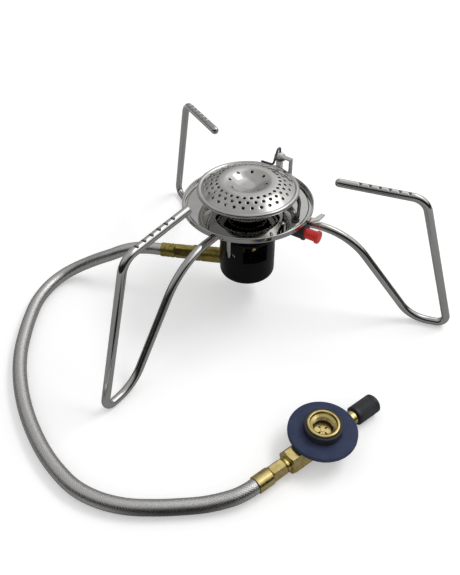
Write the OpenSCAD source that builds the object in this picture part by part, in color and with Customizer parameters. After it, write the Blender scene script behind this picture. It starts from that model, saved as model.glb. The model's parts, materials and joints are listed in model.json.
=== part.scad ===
// Camping stove with folding wire legs, a push-button igniter and a hose to a canister valve.
// Millimetres. The origin is on the ground under the burner's axis, +Z is up,
// and +X runs through the socket of the right leg.

/* [Leg wire] */
// Diameter of the leg wire
wire_d = 5; // [4.6:0.1:5.2]
// Distance from the burner's axis to the axis of each leg socket
socket_radius = 15.8; // [15.6:0.1:16]
// Direction that the right leg points in, in degrees from +X
right_leg_angle = -3; // [-5:1:0]
// Direction of the back left leg
back_left_leg_angle = 129; // [125:1:135]
// Direction of the front left leg
front_left_leg_angle = 246.5; // [240:0.5:255]
// Height of the lower run of the wire, above the hub
run_z = 62.3; // [61.8:0.1:62.6]
// Bend at the top of the socket end
socket_bend_r = 6; // [5:0.5:7]
// Where the lower run turns down, from the socket's axis
brace_start = 45.6; // [44:0.2:48]
// Radius of that wide bend
brace_bend_r = 47; // [40:1:50]
// Where the wire reaches the ground
foot_start = 94.7; // [92:0.1:97]
// Radius of the bend at the ground
foot_bend_r = 24; // [20:1:26]
// Length of the foot on the ground
foot_length = 23; // [21:0.5:26]
// Radius of the bend at the foot's far end
toe_bend_r = 5; // [4:0.5:6]
// Distance of the outer shoulder from the socket's axis
shoulder_reach = 87.5; // [85:0.5:90]
// Height of the wire's centre at the outer shoulder
shoulder_z = 91.5; // [90:0.5:93]
// Radius of the bend at the shoulder
shoulder_bend_r = 11; // [9:0.5:13]
// Distance of the arm's free tip from the socket's axis
arm_tip = 35.8; // [35:0.2:38]
// Height of the wire's centre at the free tip
arm_tip_z = 94; // [93:0.5:95]
// Number of grip notches on each arm
notch_count = 6; // [4:1:7]
// Spacing of the notches
notch_pitch = 5.6; // [5:0.1:6]
// Distance of the first notch from the socket's axis
notch_start = 50; // [48:0.5:54]
// Radius of the cutter that makes a notch
notch_r = 1.2; // [1:0.1:1.5]
// Depth of a notch
notch_depth = 0.6; // [0.3:0.1:0.8]

/* [Hub] */
// Distance from the circle of the leg sockets out to the hub's side
hub_rim = 2.2; // [2.1:0.05:2.4]
// Height of the hub's underside above the ground
hub_bottom_z = 18.5; // [17.5:0.1:19]
// Rounding of the hub's lower edge
hub_edge_r = 3; // [2:0.5:4]
// Height of the ledge under the air windows
ledge_z = 36.8; // [36.5:0.1:37]
// Height of the top of the three posts
post_top_z = 48.5; // [48:0.1:49]
// Distance from the circle of the leg sockets in to the posts' inner face
post_depth = 5; // [4.9:0.05:5.1]
// Angle of each air window
window_angle = 52; // [44:1:56]
// Diameter of the seat of the jet block
block_seat_d = 13; // [12.5:0.1:13.5]
// Thickness of the hub's floor
hub_floor = 3; // [2.5:0.1:3.4]
// Width of the slot that shows the wire in its socket
slot_w = 4; // [3.4:0.1:4.1]
// Height of the lower end of the leg sockets
socket_bottom_z = 37.5; // [37.3:0.1:37.7]
// Height of the set screws beside the sockets
pin_screw_z = 40.9; // [40.8:0.1:41.2]
// Sideways distance from a socket's axis to its set screw
pin_screw_offset = 3.7; // [3.6:0.05:3.8]
// Diameter of the set screws
pin_screw_d = 3; // [2.8:0.1:3.1]

/* [Cover plate and screws] */
// Inset of the cover plate's edge from the hub's side
plate_inset = 0.1; // [0:0.05:0.3]
// Thickness of the cover plate
plate_t = 1.5; // [1.2:0.1:1.7]
// Distance of the plate screws inside the circle of the leg sockets
plate_screw_inset = 2.2; // [2:0.1:2.3]
// Angle from each socket to its plate screw
plate_screw_angle = -21; // [-23:1:-20]
// Shank diameter of the plate screws
plate_screw_d = 2.4; // [2.2:0.1:2.5]
// Head diameter of the plate screws
plate_screw_head_d = 4.6; // [4.2:0.1:4.8]
// Head height of the plate screws
plate_screw_head_h = 1.6; // [1.3:0.1:1.8]
// Length of the plate screws below their heads
plate_screw_length = 8; // [6:0.5:9]

/* [Gas inlet and jet] */
// Direction of the inlet, in degrees from +X
inlet_angle = 184; // [182:1:186]
// Height of the inlet's axis
inlet_z = 27.2; // [27:0.1:27.6]
// Diameter of the inlet tube
inlet_d = 10.5; // [10.2:0.1:10.8]
// Distance from the burner's axis to the inlet tube's outer end
inlet_end = 36.5; // [35:0.5:38]
// Gas passage through the inlet
gas_bore_d = 3; // [2.5:0.1:3.2]
// Diameter of the spigot that enters the jet block
spigot_d = 6; // [5.8:0.1:6.2]
// Height of the top of the jet block
block_top_z = 34.5; // [34.3:0.1:35]
// Width across the flats of the jet's hexagon
jet_af = 6; // [5.5:0.1:6.5]
// Height of the jet's tip
jet_tip_z = 40; // [39.5:0.1:40.5]
// Diameter of the jet's thread
jet_thread_d = 5; // [4.6:0.1:5.2]
// Diameter of the jet's gas hole
jet_hole_d = 0.5; // [0.4:0.05:0.7]

/* [Burner head] */
// Outer diameter of the mixing tube
tube_d = 18; // [17.6:0.1:18.2]
// Bore of the mixing tube
tube_bore_d = 15; // [14:0.2:15.6]
// Height of the mixing tube's lower rim
tube_bottom_z = 44.5; // [44.2:0.1:45]
// Diameter of the collar under the cover plate
tube_collar_d = 20.4; // [20:0.1:20.8]
// Width across the flats of the tray nut
tray_nut_af = 19; // [18.8:0.1:19.2]
// Height of the tray nut
tray_nut_h = 4; // [3.5:0.1:4.4]
// Width of the drip tray's gutter, outside its raised floor
tray_gutter = 3.1; // [2.6:0.1:3.6]
// Height of the tray's underside at its rim
tray_z = 69.5; // [69.4:0.1:69.8]
// Height of the tray's wall
tray_h = 3.8; // [3.4:0.1:4.2]
// Thickness of the tray's sheet
tray_t = 0.6; // [0.5:0.05:0.6]
// Rise of the tray's floor inside its outer gutter
tray_step = 0.6; // [0.55:0.05:0.7]
// Distance from the spark electrode's upright out to the gutter
tray_step_gap = 2.6; // [2.4:0.1:3]
// Height of the bowl's neck above the tray
neck_h = 2.7; // [2.4:0.1:3]
// Outer diameter of the bowl's neck
neck_d = 24; // [23:0.5:25]
// Outer diameter of the bowl's lower step
step_d = 28.8; // [28:0.2:30]
// Thickness of the pressed sheet of the bowl and the cap
sheet = 0.7; // [0.6:0.05:0.75]
// Height of the bowl's rim, where the cap's edge rolls over it
rim_z = 81.2; // [81:0.1:81.4]
// Outer diameter of the cap
cap_d = 62.4; // [62:0.2:63]
// Diameter of the cap's rolled edge
bead_d = 3; // [2.8:0.1:3.2]
// Height of the cap's crest ring
crest_z = 87.2; // [87:0.1:87.5]
// Radius of the crest ring
crest_r = 16; // [15.5:0.1:16.5]
// Radius of the crater's floor
crater_r = 7; // [6.5:0.1:7.5]
// Height of the crater's floor
crater_z = 83.4; // [83.1:0.1:83.7]
// Number of flame holes in each row
flame_holes = 30; // [24:1:32]
// Diameter of a flame hole
flame_hole_d = 1.8; // [1.4:0.1:2]
// Radius of the inner row of flame holes
flame_row_r = 19.2; // [19:0.1:19.4]
// Spacing of the rows of flame holes
flame_row_pitch = 3.15; // [3:0.05:3.2]
// Number of holes in the crater's wall
crater_holes = 8; // [6:1:10]

/* [Igniter] */
// Direction of the igniter, in degrees from +X
igniter_angle = -20; // [-22:1:-19]
// Distance from the tray's gutter down to the igniter's axis
igniter_drop = 5; // [4.9:0.1:5.2]
// Diameter of the igniter's barrel
barrel_d = 8.8; // [8.6:0.1:8.9]
// Length of the barrel behind its strap
barrel_back = 2.5; // [2:0.1:3]
// Whole length of the barrel
barrel_length = 18.3; // [18:0.1:19]
// Diameter of the barrel's flange
barrel_flange_d = 9.6; // [9.2:0.1:9.8]
// Length of the barrel's flange
barrel_flange_h = 1.5; // [1:0.1:2]
// Diameter of the button's shaft
button_d = 6.5; // [6:0.1:6.6]
// Distance from the barrel's mouth to the button's face
button_reach = 9.2; // [8.9:0.1:9.6]
// Diameter of the button's cap
button_cap_d = 8; // [7.4:0.1:8.6]
// Thickness of the button's cap
button_cap_h = 2.3; // [1.8:0.1:2.5]
// Travel of the button
button_travel = 5; // [4:0.1:5.5]
// Number of turns of the return spring
spring_turns = 7; // [5:1:8]
// Wire diameter of the return spring
spring_wire_d = 0.6; // [0.5:0.05:0.7]
// Diameter of the ignition lead
lead_d = 2; // [1.8:0.1:2]
// Distance from the tray's gutter in to the lead's hole
lead_inset = 3.8; // [3.6:0.1:4]
// Distance from the lead's hole in to the igniter's strap
lead_to_strap = 2.6; // [2.5:0.1:2.8]
// Width of the strap that holds the igniter
strap_w = 5.5; // [5:0.1:6]

/* [Spark electrode] */
// Distance from the cap's edge out to the bracket's upright
upright_gap = 3.6; // [3.4:0.1:4]
// Direction of the upright from the burner's axis
upright_angle = 52.4; // [52:0.1:53]
// Direction that the bracket's arm points in
arm_angle = 155; // [153:1:156]
// Distance from the upright to the insulator
arm_length = 8.4; // [8.2:0.1:8.8]
// Height of the top of the bracket's arm
bracket_top_z = 88.4; // [88:0.1:88.8]
// Width of the bracket's strip
strip_w = 3.3; // [3:0.1:3.4]
// Thickness of the bracket's strip
strip_t = 0.8; // [0.6:0.05:0.9]
// Diameter of the ceramic insulator
ceramic_d = 4.5; // [4.2:0.1:4.6]
// Height of the insulator's lower end
ceramic_bottom_z = 74; // [73.8:0.1:74.5]
// Height of the insulator's top above the bracket's arm
ceramic_rise = 2.1; // [1.6:0.1:2.6]
// Diameter of the electrode rod
rod_d = 1.4; // [1.2:0.1:1.6]
// Reach of the rod in over the cap's edge
rod_overhang = 7.2; // [6.6:0.1:7.6]
// Direction in which the rod's low stretch starts
rod_corner_angle = 62; // [60:1:64]
// Direction of the rod's tip
rod_tip_angle = 82; // [78:1:84]

/* [Hose and its fittings] */
// Diameter of the braided hose
hose_d = 8.2; // [8:0.1:8.4]
// Width across the flats of the hexagon at the burner end
burner_nut_af = 8.3; // [8:0.1:8.6]
// Length of the hexagon at the burner end
burner_nut_length = 12; // [11:0.5:13]
// Outer diameter of the crimped ferrules
ferrule_d = 9.4; // [9.2:0.1:9.8]
// Length of the ferrules
ferrule_length = 9.7; // [9:0.1:10.5]
// Width across the flats of the hexagon at the valve end
valve_nut_af = 8; // [7.8:0.1:8.4]
// Length of the hexagon at the valve end
valve_nut_length = 11; // [10:0.5:12]

/* [Canister valve] */
// Width across the flats of the valve's hexagon bar
valve_af = 12; // [11.8:0.1:12.4]
// Length of the hexagon bar
valve_length = 39.4; // [39:0.2:41]
// Distance from the hose end of the bar to the canister's axis
canister_offset = 24.2; // [23.8:0.1:24.6]
// Diameter of the disc
disc_d = 37; // [36:0.2:38]
// Height of the disc's upper face
disc_top_z = 15; // [14.8:0.1:15.2]
// Diameter of the sleeve around the socket
sleeve_d = 20.5; // [20:0.1:21]
// Height of the sleeve's upper end
sleeve_top_z = 19.5; // [19:0.1:20]
// Diameter of the brass socket
ring_d = 17.5; // [17:0.1:17.8]
// Height of the socket's upper end
ring_top_z = 20.5; // [20.2:0.1:21]
// Wall radius of the canister thread, 7/16 inch
thread_r = 5.556; // [5.5:0.01:5.6]
// Widening of the socket's mouth
mouth_chamfer = 1; // [0.8:0.05:1.1]
// Diameter of the gland nut
gland_d = 8; // [7.8:0.1:8.2]
// Distance that the gland nut stands out of the bar
gland_length = 9.1; // [8.8:0.1:9.5]
// Diameter of the valve spindle
spindle_d = 5; // [4.8:0.1:5.2]
// Diameter of the knob
knob_d = 11; // [10.6:0.2:11.4]
// Length of the knob
knob_length = 16; // [15:0.5:17]
// Number of grooves around the knob
knob_grooves = 28; // [24:1:30]
// Radius of the cutter that makes a groove
knob_groove_r = 0.4; // [0.35:0.05:0.45]

/* [Clearances] */
// Radial clearance of every turning or sliding fit
running_gap = 0.05; // [0.02:0.01:0.08]
// Clearance between pieces that are fastened together
seat_gap = 0.05; // [0.02:0.01:0.08]
// Clearance beside pieces that pass each other
free_gap = 0.3; // [0.2:0.05:0.35]

/* [Hidden] */

$fn = 64;
cut = 0.5; // how far a cutter runs past the face that it opens

socket_angles = [0, 120, 240];
window_angles = [60, 180, 300];

// Hub and cover plate, round the circle of the leg sockets
hub_d = 2 * (socket_radius + hub_rim);
post_inner_d = 2 * (socket_radius - post_depth);
plate_d = hub_d - 2 * plate_inset;
plate_screw_radius = socket_radius - plate_screw_inset;

// Burner levels that follow from the sizes above
tray_floor_z = tray_z + tray_step;            // underside of the tray's raised floor
tray_top_z = tray_floor_z + tray_t;           // top of that floor
neck_top_z = tray_top_z + neck_h;
plate_top_z = post_top_z + plate_t;
// The sills of the windows lie a little below the ledge inside them
sill_z = ledge_z - 0.3;
sill_r = post_inner_d / 2 - 2;
bowl_floor_z = neck_top_z + sheet + seat_gap;
bowl_rim_r = cap_d / 2 - 1.35;
head_bore_d = tube_d + 2 * seat_gap;
nut_hex_d = tray_nut_af / cos(30);

// Leg wire sizes
wire_r = wire_d / 2;
wire_tip_z = socket_bottom_z + 2 * running_gap;
wire_tip_chamfer = 0.6;
bend_swell = 0.02;
wire_neck_r = min(pin_screw_offset - pin_screw_d / 2 - 3 * running_gap, wire_r);
wire_neck_half = pin_screw_d / 2 + 4 * running_gap;
toe_reach = foot_start + foot_length;
leg_outline = [
    [0, wire_tip_z + wire_tip_chamfer], [0, run_z], [brace_start, run_z], [foot_start, wire_r],
    [toe_reach, wire_r], [shoulder_reach, shoulder_z], [arm_tip + wire_r, arm_tip_z]
];
leg_bends = [socket_bend_r, brace_bend_r, foot_bend_r, toe_bend_r, shoulder_bend_r];

// Hub
socket_slot_rise = 0.5;                        // from the socket's floor to the slot's lower end
pin_screw_start = socket_radius - 1.6;
pin_screw_end = sqrt(pow(hub_d / 2, 2) - pow(pin_screw_offset + pin_screw_d / 2, 2)) - 0.2;
block_recess_d = 8;                            // recess for the head of the block's screw
block_recess_h = 1.5;

// Jet block and inlet
block_bottom_z = hub_bottom_z + hub_floor;
jet_seat_z = block_top_z - 4;
inlet_oring_at = 4.6;
oring_wire_d = 1.2;
oring_groove_w = 1.4;
block_d = block_seat_d - 2 * seat_gap;
inlet_start = block_seat_d / 2 + 2 * seat_gap;
spigot_start = 2.5;
block_screw_d = 4;

// Drip tray, round the spark electrode's upright
upright_radius = cap_d / 2 + upright_gap;
tray_step_r = upright_radius + tray_step_gap;
lead_radius = tray_step_r - lead_inset;

// Igniter, along its own axis
igniter_z = tray_z - igniter_drop;
strap_end = lead_radius - lead_to_strap;
strap_start = strap_end - strap_w;
barrel_start = strap_start - barrel_back;
barrel_end = barrel_start + barrel_length;
button_face = barrel_end + button_reach;
barrel_wall = 1.2;
barrel_bore_d = button_d + 4 * running_gap;
crystal_start = barrel_start + barrel_wall;
crystal_length = 5;
crystal_d = 5;
hammer_h = 2;
hammer_face = crystal_start + crystal_length + hammer_h;
button_start = hammer_face + button_travel + free_gap;
button_shoulder = button_face - button_cap_h;
button_bore_end = button_shoulder - 3.2;
spring_room_d = button_d - 1.2;
spring_d = spring_room_d - 0.4;
strap_t = 0.8;
strap_middle = (strap_start + strap_end) / 2;
strap_low_z = tray_z - 0.1 - strap_t;
strap_rivet_offset = 7;
strap_rivet_d = 2;
strap_hole_gap = 0.1;
wing_root = 4.8;                               // where the wing starts beside the strap's middle
grommet_body_d = lead_d + 1.8;

// Spark electrode
upright = [upright_radius * cos(upright_angle), upright_radius * sin(upright_angle)];
ceramic_at = upright + arm_length * [cos(arm_angle), sin(arm_angle)];
ceramic_angle = atan2(ceramic_at[1], ceramic_at[0]);
ceramic_radius = norm(ceramic_at);
ceramic_top_z = bracket_top_z + ceramic_rise;
electrode_rivet_d = 1.6;
electrode_foot = 4.2;
electrode_rivet_inset = 2.2;
electrode_eye_d = ceramic_d + 2.4;
electrode_clip_h = 1.8;

// The rod rises from the insulator, falls inwards over the cap and turns along it
rod_seat_z = ceramic_top_z - 3;
rod_rise = 3;
rod_low_z = crest_z - 0.2;
rod_radius = cap_d / 2 - rod_overhang;
rod_stem = [ceramic_at[0], ceramic_at[1], ceramic_top_z + rod_rise];
rod_crest = polar(ceramic_radius - 1.6, ceramic_angle, ceramic_top_z + rod_rise + 0.5);
rod_corner = polar(rod_radius, rod_corner_angle, rod_low_z);
rod_tip = polar(rod_radius, rod_tip_angle, rod_low_z);
rod_points = concat(
    [[ceramic_at[0], ceramic_at[1], rod_seat_z]],
    soft_corner([ceramic_at[0], ceramic_at[1], rod_seat_z], rod_stem, rod_crest, 0.8),
    soft_corner(rod_stem, rod_crest, rod_corner, 0.8),
    soft_corner(rod_crest, rod_corner, rod_tip, 1.8),
    [rod_tip]
);

// Hose fittings at the burner end, as distances from the burner's axis
burner_nut_end = inlet_end + burner_nut_length;
burner_ferrule_end = burner_nut_end + ferrule_length;

// Canister valve, along its own axis from the hose's end
valve_end = [38.2, -150.3];       // where the hose meets the far ferrule
valve_angle = 51;                 // direction of the valve's axis
valve_z = valve_af / 2;           // the hexagon bar lies on the ground
valve_nut_start = ferrule_length;
valve_start = valve_nut_start + valve_nut_length;
valve_stop = valve_start + valve_length;
canister_s = valve_start + canister_offset;
gland_end = valve_stop + gland_length;
knob_start = gland_end + free_gap;
knob_end = knob_start + knob_length;
nut_collar_h = 2;
nut_neck_h = 0.6;
spigot_top_z = 13.2;
canister_spigot_d = 9;
thread_bottom_z = 15;                          // the seal sits in a wider relief under the thread
relief_r = thread_r + 0.35;
seal_top_z = 14.4;
seal_inner_r = thread_r - 1;
opener_h = 1.1;
opener_pin_top_z = 14.6;
disc_bottom_z = valve_af + seat_gap;
spindle_tail_d = 4;
knob_screw_d = 2.5;
knob_screw_head_d = 5;
knob_screw_recess = 2;
spindle_tail_end = knob_end - knob_screw_recess - 3.5;
needle_start = canister_s - 3;
seat_s = needle_start + 0.7;
needle_length = 3.7;
chamber_d = spindle_d + 2 * running_gap;
gland_seat_d = chamber_d + 2 * oring_wire_d;
gland_seat_start = valve_stop - 6.4;

// The hose: from the burner's ferrule it falls to the ground, sweeps round the front and
// rises a little into the valve's ferrule. Its points were chosen by hand along its centre.
hose_r = hose_d / 2;
hose_from = [burner_ferrule_end * cos(inlet_angle), burner_ferrule_end * sin(inlet_angle), inlet_z];
hose_to = [valve_end[0], valve_end[1], valve_z];
hose_points = [
    hose_from, polar(burner_ferrule_end + 10, inlet_angle, inlet_z), [-77, -6.5, 26.6],
    [-85, -8.9, 24.8], [-93, -10.9, 21.4],
    [-102, -12, 17.2], [-111, -13.4, 12.6], [-119, -16.2, 8.8], [-125.6, -21.2, 6],
    [-130, -28.6, 4.6], [-132.2, -38, 4.1], [-132.4, -50, 4.1], [-130, -64, 4.1], [-126.4, -78, 4.1],
    [-121.8, -92, 4.1], [-115.4, -106, 4.1], [-107, -120, 4.1], [-97.4, -133, 4.1], [-86.6, -145, 4.1],
    [-75, -155.8, 4.1], [-63, -164.6, 4.1], [-50, -171.6, 4.1], [-36, -175, 4.1], [-22, -175.2, 4.1],
    [-8, -172.6, 4.1], [6, -168.6, 4.1], [16, -165.2, 4.3], [24, -161.6, 4.9], [30.4, -158, 5.6],
    hose_to - 3.6 * [cos(valve_angle), sin(valve_angle), 0], hose_to
];

// The ignition lead: up through the tray, round the tray's floor and up to the insulator.
lead_floor_z = tray_top_z + lead_d / 2 + seat_gap;
lead_points = concat(
    [polar(lead_radius, igniter_angle, igniter_z + barrel_d / 2),
     polar(lead_radius, igniter_angle, tray_top_z + 1.2),
     polar(lead_radius - 0.1, igniter_angle + 2, tray_top_z + 2.2),
     polar(lead_radius - 0.5, igniter_angle + 6, tray_top_z + 2),
     polar(lead_radius - 1.2, igniter_angle + 13, lead_floor_z + 0.2)],
    [for (a = [0 : 7 : 56]) polar(ceramic_radius - 2.3, a, lead_floor_z)],
    [polar(ceramic_radius - 1.9, 61, lead_floor_z + 0.1),
     [ceramic_at[0] + 0.6, ceramic_at[1] - 0.8, lead_floor_z + 0.8],
     [ceramic_at[0], ceramic_at[1], ceramic_bottom_z - 0.6],
     [ceramic_at[0], ceramic_at[1], ceramic_bottom_z]]
);

// ---- Functions ----

function polar(r, a, z) = [r * cos(a), r * sin(a), z];
function unit(v) = v / norm(v);
function heading(a, b) = atan2(b[1] - a[1], b[0] - a[0]);
function soft_corner(a, b, c, reach, n = 5) =
    let (from = b + reach * unit(a - b), to = b + reach * unit(c - b))
    [for (i = [0 : n]) let (t = i / n) (1 - t) * (1 - t) * from + 2 * t * (1 - t) * b + t * t * to];
function turn_between(a, b) = let (d = b - a) d > 180 ? d - 360 : d < -180 ? d + 360 : d;
function arc(c, r, from, to, n = 6) =
    [for (i = [0 : n]) let (a = from + (to - from) * i / n) c + r * [cos(a), sin(a)]];

// Direction of a route at its point i
function tangent(path, i) =
    i == 0 ? unit(path[1] - path[0])
    : i == len(path) - 1 ? unit(path[i] - path[i - 1])
    : unit(unit(path[i] - path[i - 1]) + unit(path[i + 1] - path[i]));

// Turns a route's side vector with the route, so that a swept tube doesn't twist
function carried(side, along) = unit(side - along * (side * along));
function sides_of(path, side, i = 0) =
    i == len(path) ? []
    : let (s = carried(side, tangent(path, i))) concat([s], sides_of(path, s, i + 1));

// Height of the cap's upper face over the flame-hole band
cap_shoulder = [cap_d / 2 - bead_d * 0.9, rim_z + bead_d * 0.35];
function band_z(r) =
    let (t = (cap_shoulder[0] - r) / (cap_shoulder[0] - crest_r))
    cap_shoulder[1] + (crest_z - cap_shoulder[1]) * sin(90 * t);

// ---- Shared shapes ----

// A round bar bent in a plane: straight stretches joined by arcs. A bend swells by a hair,
// and the straight stretches end just inside it.
module bent_bar(points, bends, d) {
    n = len(points);
    turns = [for (i = [1 : n - 2])
        turn_between(heading(points[i - 1], points[i]), heading(points[i], points[i + 1]))];
    setbacks = [for (i = [0 : n - 3]) bends[i] * tan(abs(turns[i]) / 2)];
    laps = [for (r = bends) min(0.3, sqrt(r * bend_swell))];
    for (i = [0 : n - 2]) {
        from_back = i == 0 ? 0 : setbacks[i - 1] - laps[i - 1];
        to_back = i == n - 2 ? 0 : setbacks[i] - laps[i];
        along = unit(points[i + 1] - points[i]);
        start = points[i] + along * from_back;
        length = norm(points[i + 1] - points[i]) - from_back - to_back;
        translate(start) rotate([0, 0, heading(points[i], points[i + 1])]) rotate([0, 90, 0])
            cylinder(d = d, h = length);
    }
    for (i = [1 : n - 2]) {
        turn = turns[i - 1];
        before = heading(points[i - 1], points[i]);
        side = turn > 0 ? 90 : -90;
        start = points[i] - setbacks[i - 1] * [cos(before), sin(before)];
        centre = start + bends[i - 1] * [cos(before + side), sin(before + side)];
        first = before - side;
        translate(centre) rotate([0, 0, turn > 0 ? first : first + turn])
            rotate_extrude(angle = abs(turn)) translate([bends[i - 1], 0]) circle(d = d + 2 * bend_swell);
    }
}

// A tube swept along a route, one ring of corners at each point
module swept_tube(path, d, sides, first_side) {
    normals = sides_of(path, first_side);
    n = len(path);
    corners = [for (i = [0 : n - 1], k = [0 : sides - 1])
        let (a = 360 * k / sides, u = normals[i], v = cross(tangent(path, i), u))
        path[i] + d / 2 * (cos(a) * u + sin(a) * v)];
    skin = [for (i = [0 : n - 2], k = [0 : sides - 1])
        let (a = i * sides + k, b = i * sides + (k + 1) % sides)
        each [[a, b + sides, b], [a, a + sides, b + sides]]];
    ends = [[for (k = [0 : sides - 1]) k], [for (k = [sides - 1 : -1 : 0]) (n - 1) * sides + k]];
    polyhedron(corners, concat(skin, ends));
}

module hexagon_bar(af, h) {
    cylinder(d = af / cos(30), h = h, $fn = 6);
}

module ring(outer_d, inner_d, h) {
    difference() {
        cylinder(d = outer_d, h = h);
        translate([0, 0, -cut]) cylinder(d = inner_d, h = h + 2 * cut);
    }
}

module round_ring(centre_r, section_d) {
    rotate_extrude() translate([centre_r, 0]) circle(d = section_d);
}

// Puts its children on a horizontal axis: their +Z runs outwards along the axis
module on_axis(angle, z, r = 0) {
    translate([0, 0, z]) rotate([0, 0, angle]) rotate([0, 90, 0]) translate([0, 0, r]) children();
}

// The same for the valve, whose axis starts at the hose's far end
module on_valve(s = 0) {
    translate([valve_end[0], valve_end[1], valve_z]) rotate([0, 0, valve_angle]) rotate([0, 90, 0])
        translate([0, 0, s]) children();
}

// Upright pieces over the valve, on the canister's axis
module on_canister(z = 0) {
    translate([
        valve_end[0] + canister_s * cos(valve_angle),
        valve_end[1] + canister_s * sin(valve_angle), z
    ]) rotate([0, 0, valve_angle]) children();
}

module at_sockets() {
    for (a = socket_angles) rotate([0, 0, a]) children();
}

// ---- Burner head ----

module cap_outline() {
    flat = [for (t = [0 : 6]) let (r = cap_shoulder[0] + (crest_r - cap_shoulder[0]) * t / 6)
        [r, band_z(r)]];
    crater_lip = [crest_r - 2, crest_z - 0.3];
    crater_wall = [[crest_r - 3.4, crest_z - 1], [crater_r + 1.6, crater_z + 0.6]];
    top = concat(flat, [crater_lip], crater_wall, [[crater_r, crater_z], [0, crater_z]]);
    under = [for (i = [len(top) - 1 : -1 : 0]) top[i] - [0, sheet]];
    polygon(concat(top, under));
}

module burner_cap() {
    bead_r = cap_d / 2 - bead_d / 2;
    color("silver") difference() {
        union() {
            rotate_extrude() cap_outline();
            translate([0, 0, rim_z]) round_ring(bead_r, bead_d);
        }
        translate([0, 0, rim_z - sheet / 2 - seat_gap])
            ring(2 * (bowl_rim_r + seat_gap), 2 * (bead_r - bead_d), sheet + 2 * seat_gap);
        flame_hole_rows();
        for (i = [0 : crater_holes - 1]) rotate([0, 0, 360 * i / crater_holes])
            translate([(crest_r + crater_r) / 2 - 0.4, 0, crater_z - 2])
                cylinder(d = flame_hole_d, h = 6, $fn = 24);
    }
}

module flame_hole_rows() {
    for (row = [0 : 2], i = [0 : flame_holes - 1])
        rotate([0, 0, (i + row / 2) * 360 / flame_holes])
            translate([flame_row_r + row * flame_row_pitch, 0, rim_z + 0.5])
                cylinder(d = flame_hole_d, h = 8, $fn = 24);
}

module burner_bowl() {
    neck_r = neck_d / 2;
    step_r = step_d / 2;
    waist_r = (step_r + bowl_rim_r) / 2;
    rim_low = rim_z - sheet / 2;
    step_top = bowl_floor_z + 1;
    waist_z = step_top + 1.6;
    color("silver") rotate_extrude() polygon([
        [head_bore_d / 2, tray_top_z], [neck_r, tray_top_z], [neck_r, neck_top_z], [step_r, neck_top_z],
        [step_r, step_top], [waist_r, waist_z], [bowl_rim_r - 1.8, rim_low], [bowl_rim_r, rim_low],
        [bowl_rim_r, rim_low + sheet], [bowl_rim_r - 2.1, rim_low + sheet], [waist_r - 0.3, waist_z + sheet],
        [step_r - sheet, step_top + sheet * 0.7], [step_r - sheet - 0.8, bowl_floor_z],
        [head_bore_d / 2, bowl_floor_z]
    ]);
}

module mixing_tube() {
    bell_h = 3;
    color("gainsboro") difference() {
        union() {
            translate([0, 0, tube_bottom_z]) cylinder(d = tube_d, h = bowl_floor_z - tube_bottom_z);
            translate([0, 0, post_top_z - plate_t]) cylinder(d = tube_collar_d, h = plate_t);
        }
        translate([0, 0, tube_bottom_z - cut])
            cylinder(d = tube_bore_d, h = bowl_floor_z - tube_bottom_z + 2 * cut);
        translate([0, 0, tube_bottom_z]) cylinder(d1 = tube_d - 0.8, d2 = tube_bore_d, h = bell_h);
    }
}

module drip_tray() {
    r = tray_step_r + tray_gutter;
    bend = 1.2;
    top_z = tray_z + tray_h;
    inner = bend - tray_t;
    hole_r = head_bore_d / 2;
    color("silver") difference() {
        union() {
            rotate_extrude() polygon(concat(
                [[hole_r, tray_floor_z], [tray_step_r - tray_t, tray_floor_z], [tray_step_r, tray_z]],
                arc([r - bend, tray_z + bend], bend, -90, 0),
                [[r, top_z - 0.5], [r - tray_t, top_z - 0.5]],
                arc([r - bend, tray_z + bend], inner, 0, -90),
                [[tray_step_r + tray_t / 2, tray_z + tray_t], [tray_step_r - tray_t / 2, tray_top_z],
                 [hole_r, tray_top_z]]
            ));
            translate([0, 0, top_z - 0.5]) round_ring(r - 0.5, 1);
        }
        on_tray(lead_radius, 0) cylinder(d = grommet_body_d, h = 4, center = true);
        for (s = [-1, 1]) on_tray(strap_middle, s * strap_rivet_offset)
            cylinder(d = strap_rivet_d + strap_hole_gap, h = 4, center = true);
        at_electrode_foot() cylinder(d = electrode_rivet_d + strap_hole_gap, h = 4, center = true);
    }
}

// A place in the tray's floor, measured along and across the igniter's direction
module on_tray(along, across) {
    rotate([0, 0, igniter_angle]) translate([along, across, tray_floor_z + tray_t / 2]) children();
}

module tray_nut() {
    color("silver") difference() {
        translate([0, 0, tray_floor_z - tray_nut_h]) hexagon_bar(tray_nut_af, tray_nut_h);
        translate([0, 0, tray_floor_z - tray_nut_h - cut])
            cylinder(d = head_bore_d, h = tray_nut_h + 2 * cut);
    }
}

// ---- Hub ----

module hub_casting() {
    r = hub_d / 2;
    edge = hub_edge_r;
    sector = window_angle;
    color([0.04, 0.04, 0.04]) difference() {
        rotate_extrude() polygon(concat(
            [[0, hub_bottom_z]], arc([r - edge, hub_bottom_z + edge], edge, -90, 0, 8),
            [[r, post_top_z], [post_inner_d / 2, post_top_z], [post_inner_d / 2, ledge_z], [0, ledge_z]]
        ));
        for (a = window_angles) rotate([0, 0, a - sector / 2]) translate([0, 0, sill_z])
            rotate_extrude(angle = sector) translate([sill_r, 0]) square([r, post_top_z - sill_z + cut]);
        translate([0, 0, block_bottom_z]) cylinder(d = block_seat_d, h = ledge_z - block_bottom_z + cut);
        on_axis(inlet_angle, inlet_z) cylinder(d = inlet_d + 2 * seat_gap, h = hub_d);
        at_sockets() leg_socket();
        translate([0, 0, hub_bottom_z - cut])
            cylinder(d = block_screw_d + 2 * seat_gap, h = hub_floor + 2 * cut);
        translate([0, 0, hub_bottom_z - cut]) cylinder(d = block_recess_d, h = cut + block_recess_h);
    }
}

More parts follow.
